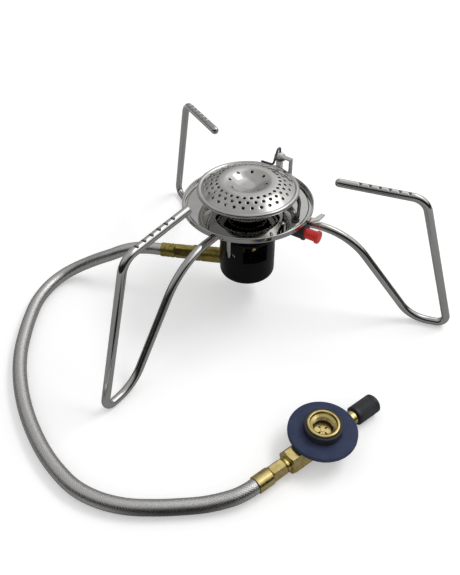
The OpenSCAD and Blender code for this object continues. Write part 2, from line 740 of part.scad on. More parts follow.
// The blind socket of one leg, the slot in front of it and the holes of the screws beside it
module leg_socket() {
    depth = post_top_z - socket_bottom_z + cut;
    slot_z = socket_bottom_z + socket_slot_rise + slot_w / 2;
    translate([socket_radius, 0, socket_bottom_z]) cylinder(d = wire_d + 2 * running_gap, h = depth);
    translate([socket_radius, -slot_w / 2, slot_z]) cube([hub_d / 2, slot_w, depth]);
    translate([socket_radius, 0, slot_z]) rotate([0, 90, 0]) cylinder(d = slot_w, h = hub_d / 2);
    translate([pin_screw_start - seat_gap, pin_screw_offset, pin_screw_z]) rotate([0, 90, 0])
        cylinder(d = pin_screw_d + 2 * seat_gap, h = hub_d / 2);
    at_plate_screw(post_top_z - plate_screw_length + plate_t - free_gap)
        cylinder(d = plate_screw_d + 2 * seat_gap, h = plate_screw_length);
}

module at_plate_screw(z) {
    rotate([0, 0, plate_screw_angle]) translate([plate_screw_radius, 0, z]) children();
}

module pin_screws() {
    length = pin_screw_end - pin_screw_start;
    color("silver") at_sockets()
        translate([pin_screw_start, pin_screw_offset, pin_screw_z]) rotate([0, 90, 0]) difference() {
            cylinder(d = pin_screw_d, h = length);
            translate([-pin_screw_d, -0.25, length - 0.6]) cube([2 * pin_screw_d, 0.5, 1]);
        }
}

module hub_cover_plate() {
    hole_h = plate_t + 2 * cut;
    color([0.04, 0.04, 0.04]) difference() {
        translate([0, 0, post_top_z]) cylinder(d = plate_d, h = plate_t);
        translate([0, 0, post_top_z - cut]) cylinder(d = head_bore_d, h = hole_h);
        at_sockets() translate([socket_radius, 0, post_top_z - cut])
            cylinder(d = wire_d + 2 * free_gap, h = hole_h);
        at_sockets() at_plate_screw(post_top_z - cut) cylinder(d = plate_screw_d + 2 * seat_gap, h = hole_h);
    }
}

module plate_screws() {
    slot_d = 0.6;
    color("silver") at_sockets() at_plate_screw(plate_top_z) difference() {
        union() {
            cylinder(d = plate_screw_head_d, h = plate_screw_head_h / 2);
            translate([0, 0, plate_screw_head_h / 2])
                cylinder(d1 = plate_screw_head_d, d2 = plate_screw_head_d - 1.4,
                    h = plate_screw_head_h / 2);
            translate([0, 0, -plate_screw_length]) cylinder(d = plate_screw_d, h = plate_screw_length);
        }
        for (a = [0, 90]) rotate([0, 0, a])
            translate([-1.2, -slot_d / 2, plate_screw_head_h - 0.8]) cube([2.4, slot_d, 1]);
    }
}

module jet_block() {
    color("goldenrod") difference() {
        translate([0, 0, block_bottom_z]) cylinder(d = block_d, h = block_top_z - block_bottom_z);
        on_axis(inlet_angle, inlet_z, spigot_start - seat_gap)
            cylinder(d = spigot_d + 2 * seat_gap, h = block_d);
        translate([0, 0, inlet_z]) cylinder(d = gas_bore_d, h = block_top_z - inlet_z + cut);
        on_axis(inlet_angle, inlet_z) cylinder(d = gas_bore_d, h = spigot_start);
        translate([0, 0, jet_seat_z])
            cylinder(d = jet_thread_d + 2 * seat_gap, h = block_top_z - jet_seat_z + cut);
        translate([0, 0, block_bottom_z - cut]) cylinder(d = block_screw_d + 2 * seat_gap, h = 3.3 + cut);
    }
}

module block_screw() {
    head_h = 1.3;
    head_z = hub_bottom_z + block_recess_h - head_h;
    color("silver") difference() {
        union() {
            translate([0, 0, head_z]) cylinder(d = block_recess_d - 2 * free_gap, h = head_h);
            translate([0, 0, head_z]) cylinder(d = block_screw_d, h = hub_floor + 2.8);
        }
        for (a = [0, 90]) rotate([0, 0, a])
            translate([-2, -0.4, hub_bottom_z - 0.2]) cube([4, 0.8, 1.1]);
    }
}

module jet() {
    collar_h = 3.5;
    color("goldenrod") difference() {
        union() {
            translate([0, 0, jet_seat_z]) cylinder(d = jet_thread_d, h = block_top_z - jet_seat_z);
            translate([0, 0, block_top_z]) hexagon_bar(jet_af, collar_h);
            translate([0, 0, block_top_z + collar_h])
                cylinder(d1 = jet_thread_d - 0.6, d2 = 2, h = jet_tip_z - block_top_z - collar_h);
        }
        translate([0, 0, jet_seat_z - cut]) cylinder(d = gas_bore_d - 1, h = jet_tip_z - jet_seat_z - 1);
        translate([0, 0, jet_seat_z]) cylinder(d = jet_hole_d, h = jet_tip_z - jet_seat_z + cut);
    }
}

module inlet_tube() {
    groove_d = spigot_d - 2 * (oring_wire_d - seat_gap);
    color([0.55, 0.45, 0.2]) difference() {
        union() {
            on_axis(inlet_angle, inlet_z, inlet_start) cylinder(d = inlet_d, h = inlet_end - inlet_start);
            on_axis(inlet_angle, inlet_z, spigot_start)
                cylinder(d = spigot_d, h = inlet_start - spigot_start + cut);
        }
        on_axis(inlet_angle, inlet_z, spigot_start - cut) cylinder(d = gas_bore_d - 0.4, h = inlet_end);
        on_axis(inlet_angle, inlet_z, inlet_oring_at - oring_groove_w / 2)
            ring(spigot_d + 1, groove_d, oring_groove_w);
    }
}

module inlet_oring() {
    color([0.1, 0.1, 0.1]) on_axis(inlet_angle, inlet_z, inlet_oring_at)
        round_ring(spigot_d / 2 + seat_gap - oring_wire_d / 2, oring_wire_d);
}

// ---- Legs ----

// One leg in its own plane: X outwards from the socket's axis, Z up
module leg_wire() {
    arm_angle_up = heading(leg_outline[5], leg_outline[6]);
    arm_out = unit(leg_outline[5] - leg_outline[6]);
    arm_up = [-arm_out[1], arm_out[0]];
    first_notch = notch_start - arm_tip - wire_r;
    difference() {
        union() {
            rotate([90, 0, 0]) bent_bar(leg_outline, leg_bends, wire_d);
            translate([0, 0, wire_tip_z])
                cylinder(d1 = wire_d - 2 * wire_tip_chamfer, d2 = wire_d, h = wire_tip_chamfer);
            translate([arm_tip + wire_r, 0, arm_tip_z]) sphere(d = wire_d + 2 * bend_swell);
        }
        translate([0, 0, pin_screw_z - wire_neck_half])
            ring(wire_d + 2, 2 * wire_neck_r, 2 * wire_neck_half);
        for (i = [0 : notch_count - 1]) {
            at = leg_outline[6] + arm_out * (first_notch + i * notch_pitch)
                + arm_up * (wire_r + notch_r - notch_depth);
            translate([at[0], wire_d, at[1]]) rotate([90, 0, 0]) cylinder(r = notch_r, h = 2 * wire_d);
        }
    }
}

module leg(socket_angle, leg_angle) {
    translate([socket_radius * cos(socket_angle), socket_radius * sin(socket_angle), 0])
        rotate([0, 0, leg_angle]) leg_wire();
}

module right_leg() {
    color("lightgray") leg(socket_angles[0], right_leg_angle);
}

module back_left_leg() {
    color("lightgray") leg(socket_angles[1], back_left_leg_angle);
}

module front_left_leg() {
    color("lightgray") leg(socket_angles[2], front_left_leg_angle);
}

// ---- Igniter ----

module igniter_body() {
    color([0.05, 0.05, 0.05]) difference() {
        union() {
            on_axis(igniter_angle, igniter_z, barrel_start)
                cylinder(d = barrel_d, h = barrel_end - barrel_start);
            on_axis(igniter_angle, igniter_z, barrel_end - barrel_flange_h)
                cylinder(d = barrel_flange_d, h = barrel_flange_h);
        }
        on_axis(igniter_angle, igniter_z, crystal_start) cylinder(d = barrel_bore_d, h = barrel_end);
    }
}

module piezo_crystal() {
    color("ivory") on_axis(igniter_angle, igniter_z, crystal_start)
        cylinder(d = crystal_d, h = crystal_length);
}

module igniter_hammer() {
    color("gray") on_axis(igniter_angle, igniter_z, crystal_start + crystal_length)
        cylinder(d = barrel_bore_d - 2 * seat_gap, h = hammer_h);
}

module igniter_spring() {
    rest_length = button_bore_end - hammer_face;
    steps = spring_turns * 12;
    coil_r = (spring_d - spring_wire_d) / 2;
    rise = (rest_length - spring_wire_d - 2 * seat_gap) / steps;
    route = [for (i = [0 : steps]) [
        coil_r * cos(i * 30), coil_r * sin(i * 30), spring_wire_d / 2 + seat_gap + i * rise]];
    color("silver") on_axis(igniter_angle, igniter_z, hammer_face)
        swept_tube(route, spring_wire_d, 6, [1, 0, 0]);
}

module igniter_button() {
    color("red") difference() {
        union() {
            on_axis(igniter_angle, igniter_z, button_start)
                cylinder(d = button_d, h = button_face - button_cap_h / 2 - button_start);
            on_axis(igniter_angle, igniter_z, button_shoulder) cylinder(d = button_cap_d, h = button_cap_h);
        }
        on_axis(igniter_angle, igniter_z, button_start - cut)
            cylinder(d = spring_room_d, h = button_bore_end - button_start + cut);
    }
}

// The strap hangs the barrel from the tray, and its wing gives a second finger its hold
module igniter_bracket() {
    strap_l = strap_end - strap_start;
    half_w = strap_rivet_offset + 2.2;
    collar_d = barrel_d + 2 * seat_gap + 1.5;
    color("silver") difference() {
        union() {
            on_axis(igniter_angle, igniter_z, strap_start) cylinder(d = collar_d, h = strap_l);
            rotate([0, 0, igniter_angle]) translate([strap_start, -half_w, tray_floor_z - strap_t])
                cube([strap_l, 2 * half_w, strap_t]);
            rotate([0, 0, igniter_angle]) translate([strap_end - strap_t, wing_root, strap_low_z])
                cube([strap_t, half_w - wing_root, tray_floor_z - strap_low_z]);
            rotate([0, 0, igniter_angle]) translate([strap_end, 0, strap_low_z])
                linear_extrude(strap_t) polygon([
                    [-strap_t, wing_root],
                    [lead_to_strap + 5.9, wing_root], [lead_to_strap + 7.8, wing_root + 0.6],
                    [lead_to_strap + 11, half_w + 0.8], [lead_to_strap + 11.4, half_w + 7.4],
                    [lead_to_strap + 8.8, half_w + 7.4], [lead_to_strap + 7.6, half_w + 1.2],
                    [lead_to_strap + 4.8, half_w], [-strap_t, half_w]
                ]);
        }
        on_axis(igniter_angle, igniter_z, strap_start - cut)
            cylinder(d = barrel_d + 2 * seat_gap, h = strap_l + 2 * cut);
        for (s = [-1, 1]) on_tray(strap_middle, s * strap_rivet_offset)
            cylinder(d = strap_rivet_d + strap_hole_gap, h = 6, center = true);
    }
}

module bracket_rivets() {
    head_d = 3.4;
    head_h = 0.7;
    grip = tray_t + strap_t;
    color("silver") for (s = [-1, 1]) on_tray(strap_middle, s * strap_rivet_offset)
        translate([0, 0, tray_t / 2 - grip]) {
            translate([0, 0, -head_h]) cylinder(d1 = head_d - 1, d2 = head_d, h = head_h);
            cylinder(d = strap_rivet_d, h = grip);
            translate([0, 0, grip]) cylinder(d1 = head_d, d2 = head_d - 1, h = head_h);
        }
}

module lead_grommet() {
    flange_d = grommet_body_d + 1.2;
    flange_h = 0.5;
    color([0.08, 0.08, 0.08]) on_tray(lead_radius, 0) difference() {
        union() {
            cylinder(d = grommet_body_d - 2 * seat_gap, h = tray_t + 2 * flange_h, center = true);
            for (s = [-1, 1]) translate([0, 0, s * (tray_t + flange_h) / 2])
                cylinder(d = flange_d, h = flange_h, center = true);
        }
        cylinder(d = lead_d + 2 * seat_gap, h = tray_t + 4 * flange_h, center = true);
    }
}

module ignition_lead() {
    color([0.06, 0.06, 0.06]) swept_tube(lead_points, lead_d, 8, [1, 0, 0]);
}

// ---- Spark electrode ----

// The bracket's own frame: origin at the upright, X along the top arm
module on_upright(z = 0) {
    translate([upright[0], upright[1], z]) rotate([0, 0, arm_angle]) children();
}

module at_electrode_foot() {
    on_upright(tray_floor_z + tray_t / 2) translate([electrode_rivet_inset - electrode_foot, 0, 0])
        children();
}

module electrode_bracket() {
    arm_z = bracket_top_z - strip_t;
    color("silver") difference() {
        on_upright() union() {
            translate([-strip_t / 2, -strip_w / 2, tray_top_z])
                cube([strip_t, strip_w, bracket_top_z - tray_top_z]);
            translate([-strip_t / 2, -strip_w / 2, arm_z]) cube([arm_length, strip_w, strip_t]);
            translate([arm_length, 0, arm_z]) cylinder(d = electrode_eye_d, h = strip_t);
            translate([-electrode_foot, -strip_w / 2, tray_top_z]) cube([electrode_foot, strip_w, strip_t]);
        }
        on_upright(arm_z - cut) translate([arm_length, 0, 0])
            cylinder(d = ceramic_d + 2 * seat_gap, h = strip_t + 2 * cut);
        at_electrode_foot() cylinder(d = electrode_rivet_d + strap_hole_gap, h = 6, center = true);
    }
}

module electrode_rivet() {
    head_d = electrode_rivet_d + 1;
    head_h = 0.6;
    grip = tray_t + strip_t;
    color("silver") at_electrode_foot() translate([0, 0, -tray_t / 2]) {
        translate([0, 0, -head_h]) cylinder(d1 = head_d - 0.8, d2 = head_d, h = head_h);
        cylinder(d = electrode_rivet_d, h = grip);
        translate([0, 0, grip]) cylinder(d1 = head_d, d2 = head_d - 0.8, h = head_h);
    }
}

// A star washer under the arm holds the insulator in the arm's eye
module electrode_clip() {
    clip_z = bracket_top_z - strip_t - seat_gap - electrode_clip_h;
    slot = 0.9;
    color("silver") translate([ceramic_at[0], ceramic_at[1], clip_z]) rotate([0, 0, arm_angle]) difference() {
        cylinder(d1 = electrode_eye_d + 0.8, d2 = electrode_eye_d - 0.6, h = electrode_clip_h);
        translate([0, 0, -cut]) cylinder(d = ceramic_d + 2 * seat_gap, h = electrode_clip_h + 2 * cut);
        for (a = [0 : 60 : 300]) rotate([0, 0, a + 30])
            translate([ceramic_d / 2 + 0.6, -slot / 2, -cut])
                cube([electrode_eye_d, slot, electrode_clip_h + 2 * cut]);
    }
}

module electrode_insulator() {
    dome = 1;
    color("white") translate([ceramic_at[0], ceramic_at[1], 0]) difference() {
        union() {
            translate([0, 0, ceramic_bottom_z])
                cylinder(d = ceramic_d, h = ceramic_top_z - dome - ceramic_bottom_z);
            translate([0, 0, ceramic_top_z - dome])
                cylinder(d1 = ceramic_d, d2 = ceramic_d - 1.2, h = dome);
        }
        translate([0, 0, rod_seat_z])
            cylinder(d = rod_d + 2 * seat_gap, h = ceramic_top_z - rod_seat_z + cut);
    }
}

module electrode_rod() {
    color([0.35, 0.34, 0.36]) swept_tube(rod_points, rod_d, 16, [1, 0, 0]);
}

// ---- Hose and fittings ----

module burner_hose_nut() {
    color([0.55, 0.45, 0.2]) on_axis(inlet_angle, inlet_z, inlet_end) difference() {
        rotate([0, 0, 30]) hexagon_bar(burner_nut_af, burner_nut_length);
        translate([0, 0, -cut]) cylinder(d = gas_bore_d + 1, h = burner_nut_length + 2 * cut);
    }
}

module ferrule(crimps) {
    crimp_w = 1.2;
    crimp_depth = 0.25;
    difference() {
        cylinder(d = ferrule_d, h = ferrule_length);
        for (share = crimps) translate([0, 0, ferrule_length * share])
            ring(ferrule_d + 1, ferrule_d - 2 * crimp_depth, crimp_w);
        translate([0, 0, -cut]) cylinder(d = gas_bore_d + 1, h = ferrule_length + 2 * cut);
    }
}

module burner_ferrule() {
    color([0.55, 0.45, 0.2]) on_axis(inlet_angle, inlet_z, burner_nut_end) ferrule([0.3, 0.6]);
}

module hose() {
    color("darkgray") swept_tube(hose_points, hose_d, 12, [0, 0, 1]);
}

module valve_ferrule() {
    color("goldenrod") on_valve() ferrule([]);
}

module valve_hose_nut() {
    hexagon_h = valve_nut_length - nut_collar_h - nut_neck_h;
    color("goldenrod") on_valve(valve_nut_start) difference() {
        union() {
            rotate([0, 0, 30]) hexagon_bar(valve_nut_af, hexagon_h);
            cylinder(d = valve_nut_af - 1.6, h = valve_nut_length);
            translate([0, 0, hexagon_h + nut_neck_h]) cylinder(d = valve_nut_af + 0.2, h = nut_collar_h);
        }
        translate([0, 0, -cut]) cylinder(d = gas_bore_d + 1, h = valve_nut_length + 2 * cut);
    }
}

// ---- Canister valve ----

module valve_body() {
    color("goldenrod") difference() {
        union() {
            on_valve(valve_start) rotate([0, 0, 30]) hexagon_bar(valve_af, valve_length);
            on_canister(valve_z) cylinder(d = canister_spigot_d, h = spigot_top_z - valve_z);
        }
        on_valve(valve_start - cut) cylinder(d = 2, h = seat_s - valve_start + 2 * cut);
        on_valve(seat_s) cylinder(d = chamber_d, h = valve_stop - seat_s + cut);
        on_valve(gland_seat_start) cylinder(d = gland_seat_d, h = valve_stop - gland_seat_start + cut);
        on_canister(valve_z) cylinder(d = gas_bore_d, h = spigot_top_z - valve_z + cut);
    }
}

module connector_disc() {
    h = disc_top_z - disc_bottom_z;
    edge = 0.6;
    color([0.05, 0.06, 0.1]) on_canister(disc_bottom_z) difference() {
        rotate_extrude() polygon(concat(
            [[0, 0]], arc([disc_d / 2 - edge, edge], edge, -90, 0),
            arc([disc_d / 2 - edge, h - edge], edge, 0, 90),
            [[0, h]]
        ));
        translate([0, 0, -cut]) cylinder(d = ring_d + 2 * seat_gap, h = h + 2 * cut);
    }
}

module connector_sleeve() {
    color([0.04, 0.04, 0.04]) on_canister(disc_top_z)
        ring(sleeve_d, ring_d + 2 * seat_gap, sleeve_top_z - disc_top_z);
}

module connector_ring() {
    foot_z = disc_bottom_z;
    color("goldenrod") on_canister(foot_z) difference() {
        cylinder(d = ring_d, h = ring_top_z - foot_z);
        translate([0, 0, -cut])
            cylinder(d = canister_spigot_d + 2 * seat_gap, h = spigot_top_z - foot_z + cut);
        translate([0, 0, spigot_top_z - foot_z])
            cylinder(r = relief_r, h = thread_bottom_z - spigot_top_z);
        translate([0, 0, spigot_top_z - foot_z]) cylinder(r = thread_r, h = ring_top_z);
        translate([0, 0, ring_top_z - foot_z - mouth_chamfer])
            cylinder(r1 = thread_r, r2 = thread_r + mouth_chamfer + cut, h = mouth_chamfer + cut);
    }
}

module connector_seal() {
    color([0.1, 0.1, 0.1]) on_canister(spigot_top_z)
        ring(2 * (relief_r - seat_gap), 2 * seal_inner_r, seal_top_z - spigot_top_z);
}

module valve_opener() {
    passage_w = 0.9;
    color("gold") on_canister(spigot_top_z) difference() {
        union() {
            cylinder(r = seal_inner_r - seat_gap, h = opener_h);
            cylinder(d = 2.4, h = opener_pin_top_z - spigot_top_z);
        }
        for (a = [0 : 90 : 270]) rotate([0, 0, a]) translate([1.7, -passage_w / 2, -cut])
            cube([1.6, passage_w, opener_h + 2 * cut]);
    }
}

module valve_spindle() {
    color("silver") {
        on_valve(needle_start) cylinder(r1 = 0.6, r2 = 2, h = needle_length);
        on_valve(needle_start + needle_length)
            cylinder(d = spindle_d, h = gland_end - needle_start - needle_length);
        on_valve(gland_end - cut) cylinder(d = spindle_tail_d, h = spindle_tail_end - gland_end + cut);
    }
}

module spindle_oring() {
    color([0.1, 0.1, 0.1]) on_valve(gland_seat_start + oring_wire_d / 2 + seat_gap)
        round_ring((chamber_d + oring_wire_d) / 2, oring_wire_d);
}

module gland_nut() {
    inner_start = gland_seat_start + oring_wire_d + 2 * seat_gap;
    color("goldenrod") difference() {
        union() {
            on_valve(valve_stop) cylinder(d = gland_d, h = gland_length);
            on_valve(inner_start) cylinder(d = gland_seat_d - 2 * seat_gap, h = valve_stop - inner_start);
        }
        on_valve(inner_start - cut) cylinder(d = chamber_d, h = gland_end - inner_start + 2 * cut);
    }
}

module valve_knob() {
    collar = 2.2;
    chamfer = 1;
    grip_end = knob_length - 2.6;
    color([0.06, 0.06, 0.06]) on_valve(knob_start) difference() {
        union() {
            cylinder(d = knob_d, h = knob_length - chamfer);
            translate([0, 0, knob_length - chamfer])
                cylinder(d1 = knob_d, d2 = knob_d - 2 * chamfer, h = chamfer);
        }
        for (i = [0 : knob_grooves - 1]) rotate([0, 0, 360 * i / knob_grooves])
            translate([knob_d / 2 + knob_groove_r / 4, 0, collar])
                cylinder(r = knob_groove_r, h = grip_end - collar, $fn = 16);
        translate([0, 0, -cut])
            cylinder(d = spindle_tail_d + 2 * seat_gap, h = spindle_tail_end - knob_start + cut);
        translate([0, 0, spindle_tail_end - knob_start - cut])
            cylinder(d = knob_screw_d + 2 * seat_gap, h = knob_length);
        translate([0, 0, knob_length - knob_screw_recess])
            cylinder(d = knob_screw_head_d + 2 * free_gap, h = knob_screw_recess + cut);
    }
}

module knob_screw() {
    head_at = knob_end - knob_screw_recess;
    head_h = 1.4;
    color("silver") on_valve() difference() {
        union() {
            translate([0, 0, head_at]) cylinder(d = knob_screw_head_d, h = head_h);
            translate([0, 0, spindle_tail_end]) cylinder(d = knob_screw_d, h = head_at - spindle_tail_end);
        }
        translate([-3, -0.35, head_at + head_h - 0.6]) cube([6, 0.7, 1]);
    }
}

burner_cap();
burner_bowl();
mixing_tube();
drip_tray();
tray_nut();
hub_cover_plate();
plate_screws();
hub_casting();
pin_screws();
jet_block();
block_screw();
jet();
inlet_tube();
inlet_oring();
right_leg();
front_left_leg();
back_left_leg();
igniter_body();
igniter_button();
igniter_spring();
igniter_hammer();
piezo_crystal();
igniter_bracket();
bracket_rivets();
ignition_lead();
lead_grommet();
electrode_bracket();
electrode_rivet();
electrode_clip();
electrode_insulator();
electrode_rod();
burner_hose_nut();
burner_ferrule();
hose();
valve_ferrule();
valve_hose_nut();
valve_body();
connector_disc();
connector_sleeve();
connector_ring();
connector_seal();
valve_opener();
valve_spindle();
spindle_oring();
gland_nut();
valve_knob();
knob_screw();
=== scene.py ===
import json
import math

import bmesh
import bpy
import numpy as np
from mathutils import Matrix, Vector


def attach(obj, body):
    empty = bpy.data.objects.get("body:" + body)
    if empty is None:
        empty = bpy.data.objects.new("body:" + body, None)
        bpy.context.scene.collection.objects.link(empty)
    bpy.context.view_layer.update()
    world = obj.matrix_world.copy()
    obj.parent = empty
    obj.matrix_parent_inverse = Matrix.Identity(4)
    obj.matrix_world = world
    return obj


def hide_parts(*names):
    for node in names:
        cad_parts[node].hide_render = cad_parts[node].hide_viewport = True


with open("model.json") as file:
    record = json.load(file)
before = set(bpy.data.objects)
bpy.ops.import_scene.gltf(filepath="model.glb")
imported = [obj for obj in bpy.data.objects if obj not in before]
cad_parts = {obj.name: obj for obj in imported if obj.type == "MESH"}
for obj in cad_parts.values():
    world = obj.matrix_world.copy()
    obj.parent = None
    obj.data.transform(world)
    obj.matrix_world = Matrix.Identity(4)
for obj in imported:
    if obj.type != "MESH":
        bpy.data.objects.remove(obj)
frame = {"nodes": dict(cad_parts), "record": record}

# %% [markdown]
# # A remote-canister camping stove
# Three bent wire legs turn in a black cast hub. The hub carries a drip tray and a perforated
# burner cap, and a braided hose brings gas from a valve that screws onto a canister.
# The exact solids come in as a fixed frame. This lesson dresses each of them: it keeps the sizes
# and adds what a solid modeller leaves out, such as rolled edges, eased corners, threads, the
# weave of the hose and the finish of each metal.

MM = 0.001
IN_MM = Matrix.Scale(MM, 4)
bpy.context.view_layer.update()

# %% [markdown]
# ## Camera
# A real lens is a focal length in front of a flat sensor. The stove is seen from in front and
# above, so the camera looks 41.5 degrees down. Its three axes are written out as a matrix,
# which is exact where aiming with a constraint would lose the small roll.

# %% Camera
FRAME_HEIGHT = 575
FOCAL_LENGTH = 624.18       # in pixels of that frame
SENSOR = 36
CAMERA_AT = (67.73, -316.08, 286.97)
YAW, PITCH, ROLL = (math.radians(a) for a in (14.13, 41.5, -0.55))

forward = Vector((-math.sin(YAW) * math.cos(PITCH), math.cos(YAW) * math.cos(PITCH), -math.sin(PITCH)))
level = Vector((math.cos(YAW), math.sin(YAW), 0))
right = level * math.cos(ROLL) + level.cross(forward) * math.sin(ROLL)
up = right.cross(forward)

lens = bpy.data.cameras.new("lens")
lens.sensor_width = SENSOR
lens.lens = FOCAL_LENGTH * SENSOR / FRAME_HEIGHT
lens.clip_start, lens.clip_end = 0.01, 20
camera = bpy.data.objects.new("camera", lens)
bpy.context.scene.collection.objects.link(camera)
axes = Matrix((right, up, -forward)).transposed()
camera.matrix_world = Matrix.Translation(Vector(CAMERA_AT) * MM) @ axes.to_4x4()
bpy.context.scene.camera = camera
print("lens", round(lens.lens, 2), "mm")

# %% [markdown]
# ## Turning a list of corners into a mesh
# Every piece below ends in the same way: corners in millimetres, a place that carries them into
# the stove's frame in metres, and faces. Crisp edges are marked by angle, and a weighted-normal
# modifier keeps flat faces flat beside their small roundings.

# %% Making a piece
def make_piece(name, corners, faces, place=None, crisp=38):
    place = place or IN_MM
    mesh = bpy.data.meshes.new(name)
    mesh.from_pydata([place @ Vector(c) for c in corners], [], faces)
    piece = bpy.data.objects.new(name, mesh)
    bpy.context.scene.collection.objects.link(piece)
    tidy_mesh(piece, crisp)
    return piece


def tidy_mesh(piece, crisp=38):
    shape = bmesh.new()
    shape.from_mesh(piece.data)
    bmesh.ops.remove_doubles(shape, verts=shape.verts, dist=1e-7)
    bmesh.ops.recalc_face_normals(shape, faces=shape.faces)
    shape.to_mesh(piece.data)
    shape.free()
    piece.data.polygons.foreach_set("use_smooth", [True] * len(piece.data.polygons))
    piece.data.set_sharp_from_angle(angle=math.radians(crisp))


def keep_flats(piece):
    weights = piece.modifiers.new("keep_flats", "WEIGHTED_NORMAL")
    weights.keep_sharp = True
    return piece


# %% [markdown]
# ## Shapes made on a lathe
# Ferrules, discs, nuts and pressings are all round about an axis. Blender could spin a profile
# with its Screw modifier, but writing the rings out lets a profile carry a fillet on each corner,
# and lets knurls and threads change the radius as it goes round.

# %% Lathe
def unit(vector):
    return vector / np.linalg.norm(vector)


ARC_STEP = 15       # degrees between the corners of a fillet


def filleted(points, closed):
    """Corners (radius, height, fillet) to a dense outline."""
    out, last = [], len(points) - 1
    for i, point in enumerate(points):
        here = np.array(point[:2], float)
        size = point[2] if len(point) > 2 else 0
        if size == 0 or (not closed and i in (0, last)):
            out.append(here)
            continue
        to_before = np.array(points[i - 1][:2], float) - here
        to_after = np.array(points[(i + 1) % len(points)][:2], float) - here
        a, b = unit(to_before), unit(to_after)
        half = math.acos(np.clip(a @ b, -1, 1)) / 2
        if half > math.radians(89):
            out.append(here)
            continue
        reach = min(size / math.tan(half), 0.49 * np.linalg.norm(to_before), 0.49 * np.linalg.norm(to_after))
        centre = here + unit(a + b) * reach / math.cos(half)
        start = here + a * reach - centre
        swing = math.pi - 2 * half
        stop = here + b * reach - centre
        if start[0] * stop[1] - start[1] * stop[0] < 0:
            swing = -swing
        steps = max(2, math.ceil(abs(math.degrees(swing)) / ARC_STEP))
        for k in range(steps + 1):
            c, s = math.cos(swing * k / steps), math.sin(swing * k / steps)
            out.append(centre + [start[0] * c - start[1] * s, start[0] * s + start[1] * c])
    return out


def lathe_grid(outline, sides, closed, ripple=None):
    """Corners and faces of an outline turned about the height axis."""
    angles = np.arange(sides) * math.tau / sides
    corners, faces, rows = [], [], []
    for r, z in outline:
        if r < 1e-6:
            rows.append([len(corners)] * sides)
            corners.append((0, 0, z))
            continue
        rows.append(list(range(len(corners), len(corners) + sides)))
        for a in angles:
            q = r if ripple is None else ripple(r, z, a)
            corners.append((q * math.cos(a), q * math.sin(a), z))
    pairs = list(zip(rows, rows[1:])) + ([(rows[-1], rows[0])] if closed else [])
    for low, high in pairs:
        for k in range(sides):
            n = (k + 1) % sides
            face = [low[k], low[n], high[n], high[k]]
            faces.append(list(dict.fromkeys(face)))
    return corners, faces


def repeated(part, part_faces, places):
    """Corners and faces of the same part at each of the places."""
    corners, faces = [], []
    for place in places:
        faces += [[k + len(corners) for k in face] for face in part_faces]
        corners += [place @ Vector(c) for c in part]
    return corners, faces


def turned(name, points, place=None, sides=96, ripple=None, crisp=38):
    """A solid of revolution. Points that start and end on the axis make a solid, others a ring."""
    closed = points[0][0] > 1e-6
    outline = filleted(points, closed)
    corners, faces = lathe_grid(outline, sides, closed, ripple)
    return keep_flats(make_piece(name, corners, faces, place, crisp))


# %% [markdown]
# ## Places
# The inlet, the igniter and the valve lie on level axes. Each place is a matrix that lays the
# lathe's own axis along one of them, so a fitting is drawn standing up and laid down by its place.

# %% Places on the stove
INLET_ANGLE, INLET_Z = 184, 27.2
IGNITER_ANGLE, IGNITER_Z = -20, 64.5
VALVE_END, VALVE_ANGLE, VALVE_Z = (38.2, -150.3), 51, 6
CANISTER_S = 44.9           # along the valve from its end, where the canister screws on
LEG_SOCKET_R = 15.8


def polar(r, degrees, z):
    return (r * math.cos(math.radians(degrees)), r * math.sin(math.radians(degrees)), z)


def turn_z(degrees):
    return Matrix.Rotation(math.radians(degrees), 4, "Z")


def move(x, y, z):
    return Matrix.Translation((x, y, z))


def on_axis(angle, z, r=0, origin=(0, 0)):
    lay_down = Matrix.Rotation(math.radians(90), 4, "Y")
    return IN_MM @ move(*origin, z) @ turn_z(angle) @ lay_down @ move(0, 0, r)


def on_inlet():
    return on_axis(INLET_ANGLE, INLET_Z)


def on_igniter():
    return on_axis(IGNITER_ANGLE, IGNITER_Z)


def on_valve(s=0):
    return on_axis(VALVE_ANGLE, VALVE_Z, s, VALVE_END)


def upright_at(x, y, z=0, degrees=0):
    return IN_MM @ move(x, y, z) @ turn_z(degrees)


def on_canister():
    x, y, _ = polar(CANISTER_S, VALVE_ANGLE, 0)
    return upright_at(VALVE_END[0] + x, VALVE_END[1] + y, 0, VALVE_ANGLE)


print("canister axis at", [round(x / MM, 2) for x in on_canister().translation])

# %% [markdown]
# ## Sweeping along a line
# Wire, rod, lead and hose are one round section carried along a line. A Blender curve with a
# bevel does that too, but here the section changes on the way: a leg has grip notches, and a
# braid rises and falls. So each ring of corners is placed with a frame that turns with the line
# and never twists.

# %% Sweep
def smooth_route(points, step):
    """A smooth line through given points, in even steps of about that length."""
    p = np.array(points, float)
    p = np.vstack([2 * p[0] - p[1], p, 2 * p[-1] - p[-2]])
    dense = []
    for a, b, c, d in zip(p, p[1:], p[2:], p[3:]):
        knots = np.cumsum([0] + [np.linalg.norm(v) ** 0.5 for v in (b - a, c - b, d - c)])
        for t in np.linspace(knots[1], knots[2], 24, endpoint=False):
            ab = (a * (knots[1] - t) + b * (t - knots[0])) / (knots[1] - knots[0])
            bc = (b * (knots[2] - t) + c * (t - knots[1])) / (knots[2] - knots[1])
            cd = (c * (knots[3] - t) + d * (t - knots[2])) / (knots[3] - knots[2])
            abc = (ab * (knots[2] - t) + bc * (t - knots[0])) / (knots[2] - knots[0])
            bcd = (bc * (knots[3] - t) + cd * (t - knots[1])) / (knots[3] - knots[1])
            dense.append((abc * (knots[2] - t) + bcd * (t - knots[1])) / (knots[2] - knots[1]))
    return resampled(np.array(dense + [p[-2]]), step)


def run_lengths(line):
    """How far along the line each of its points is."""
    return np.concatenate([[0], np.cumsum(np.linalg.norm(np.diff(line, axis=0), axis=1))])


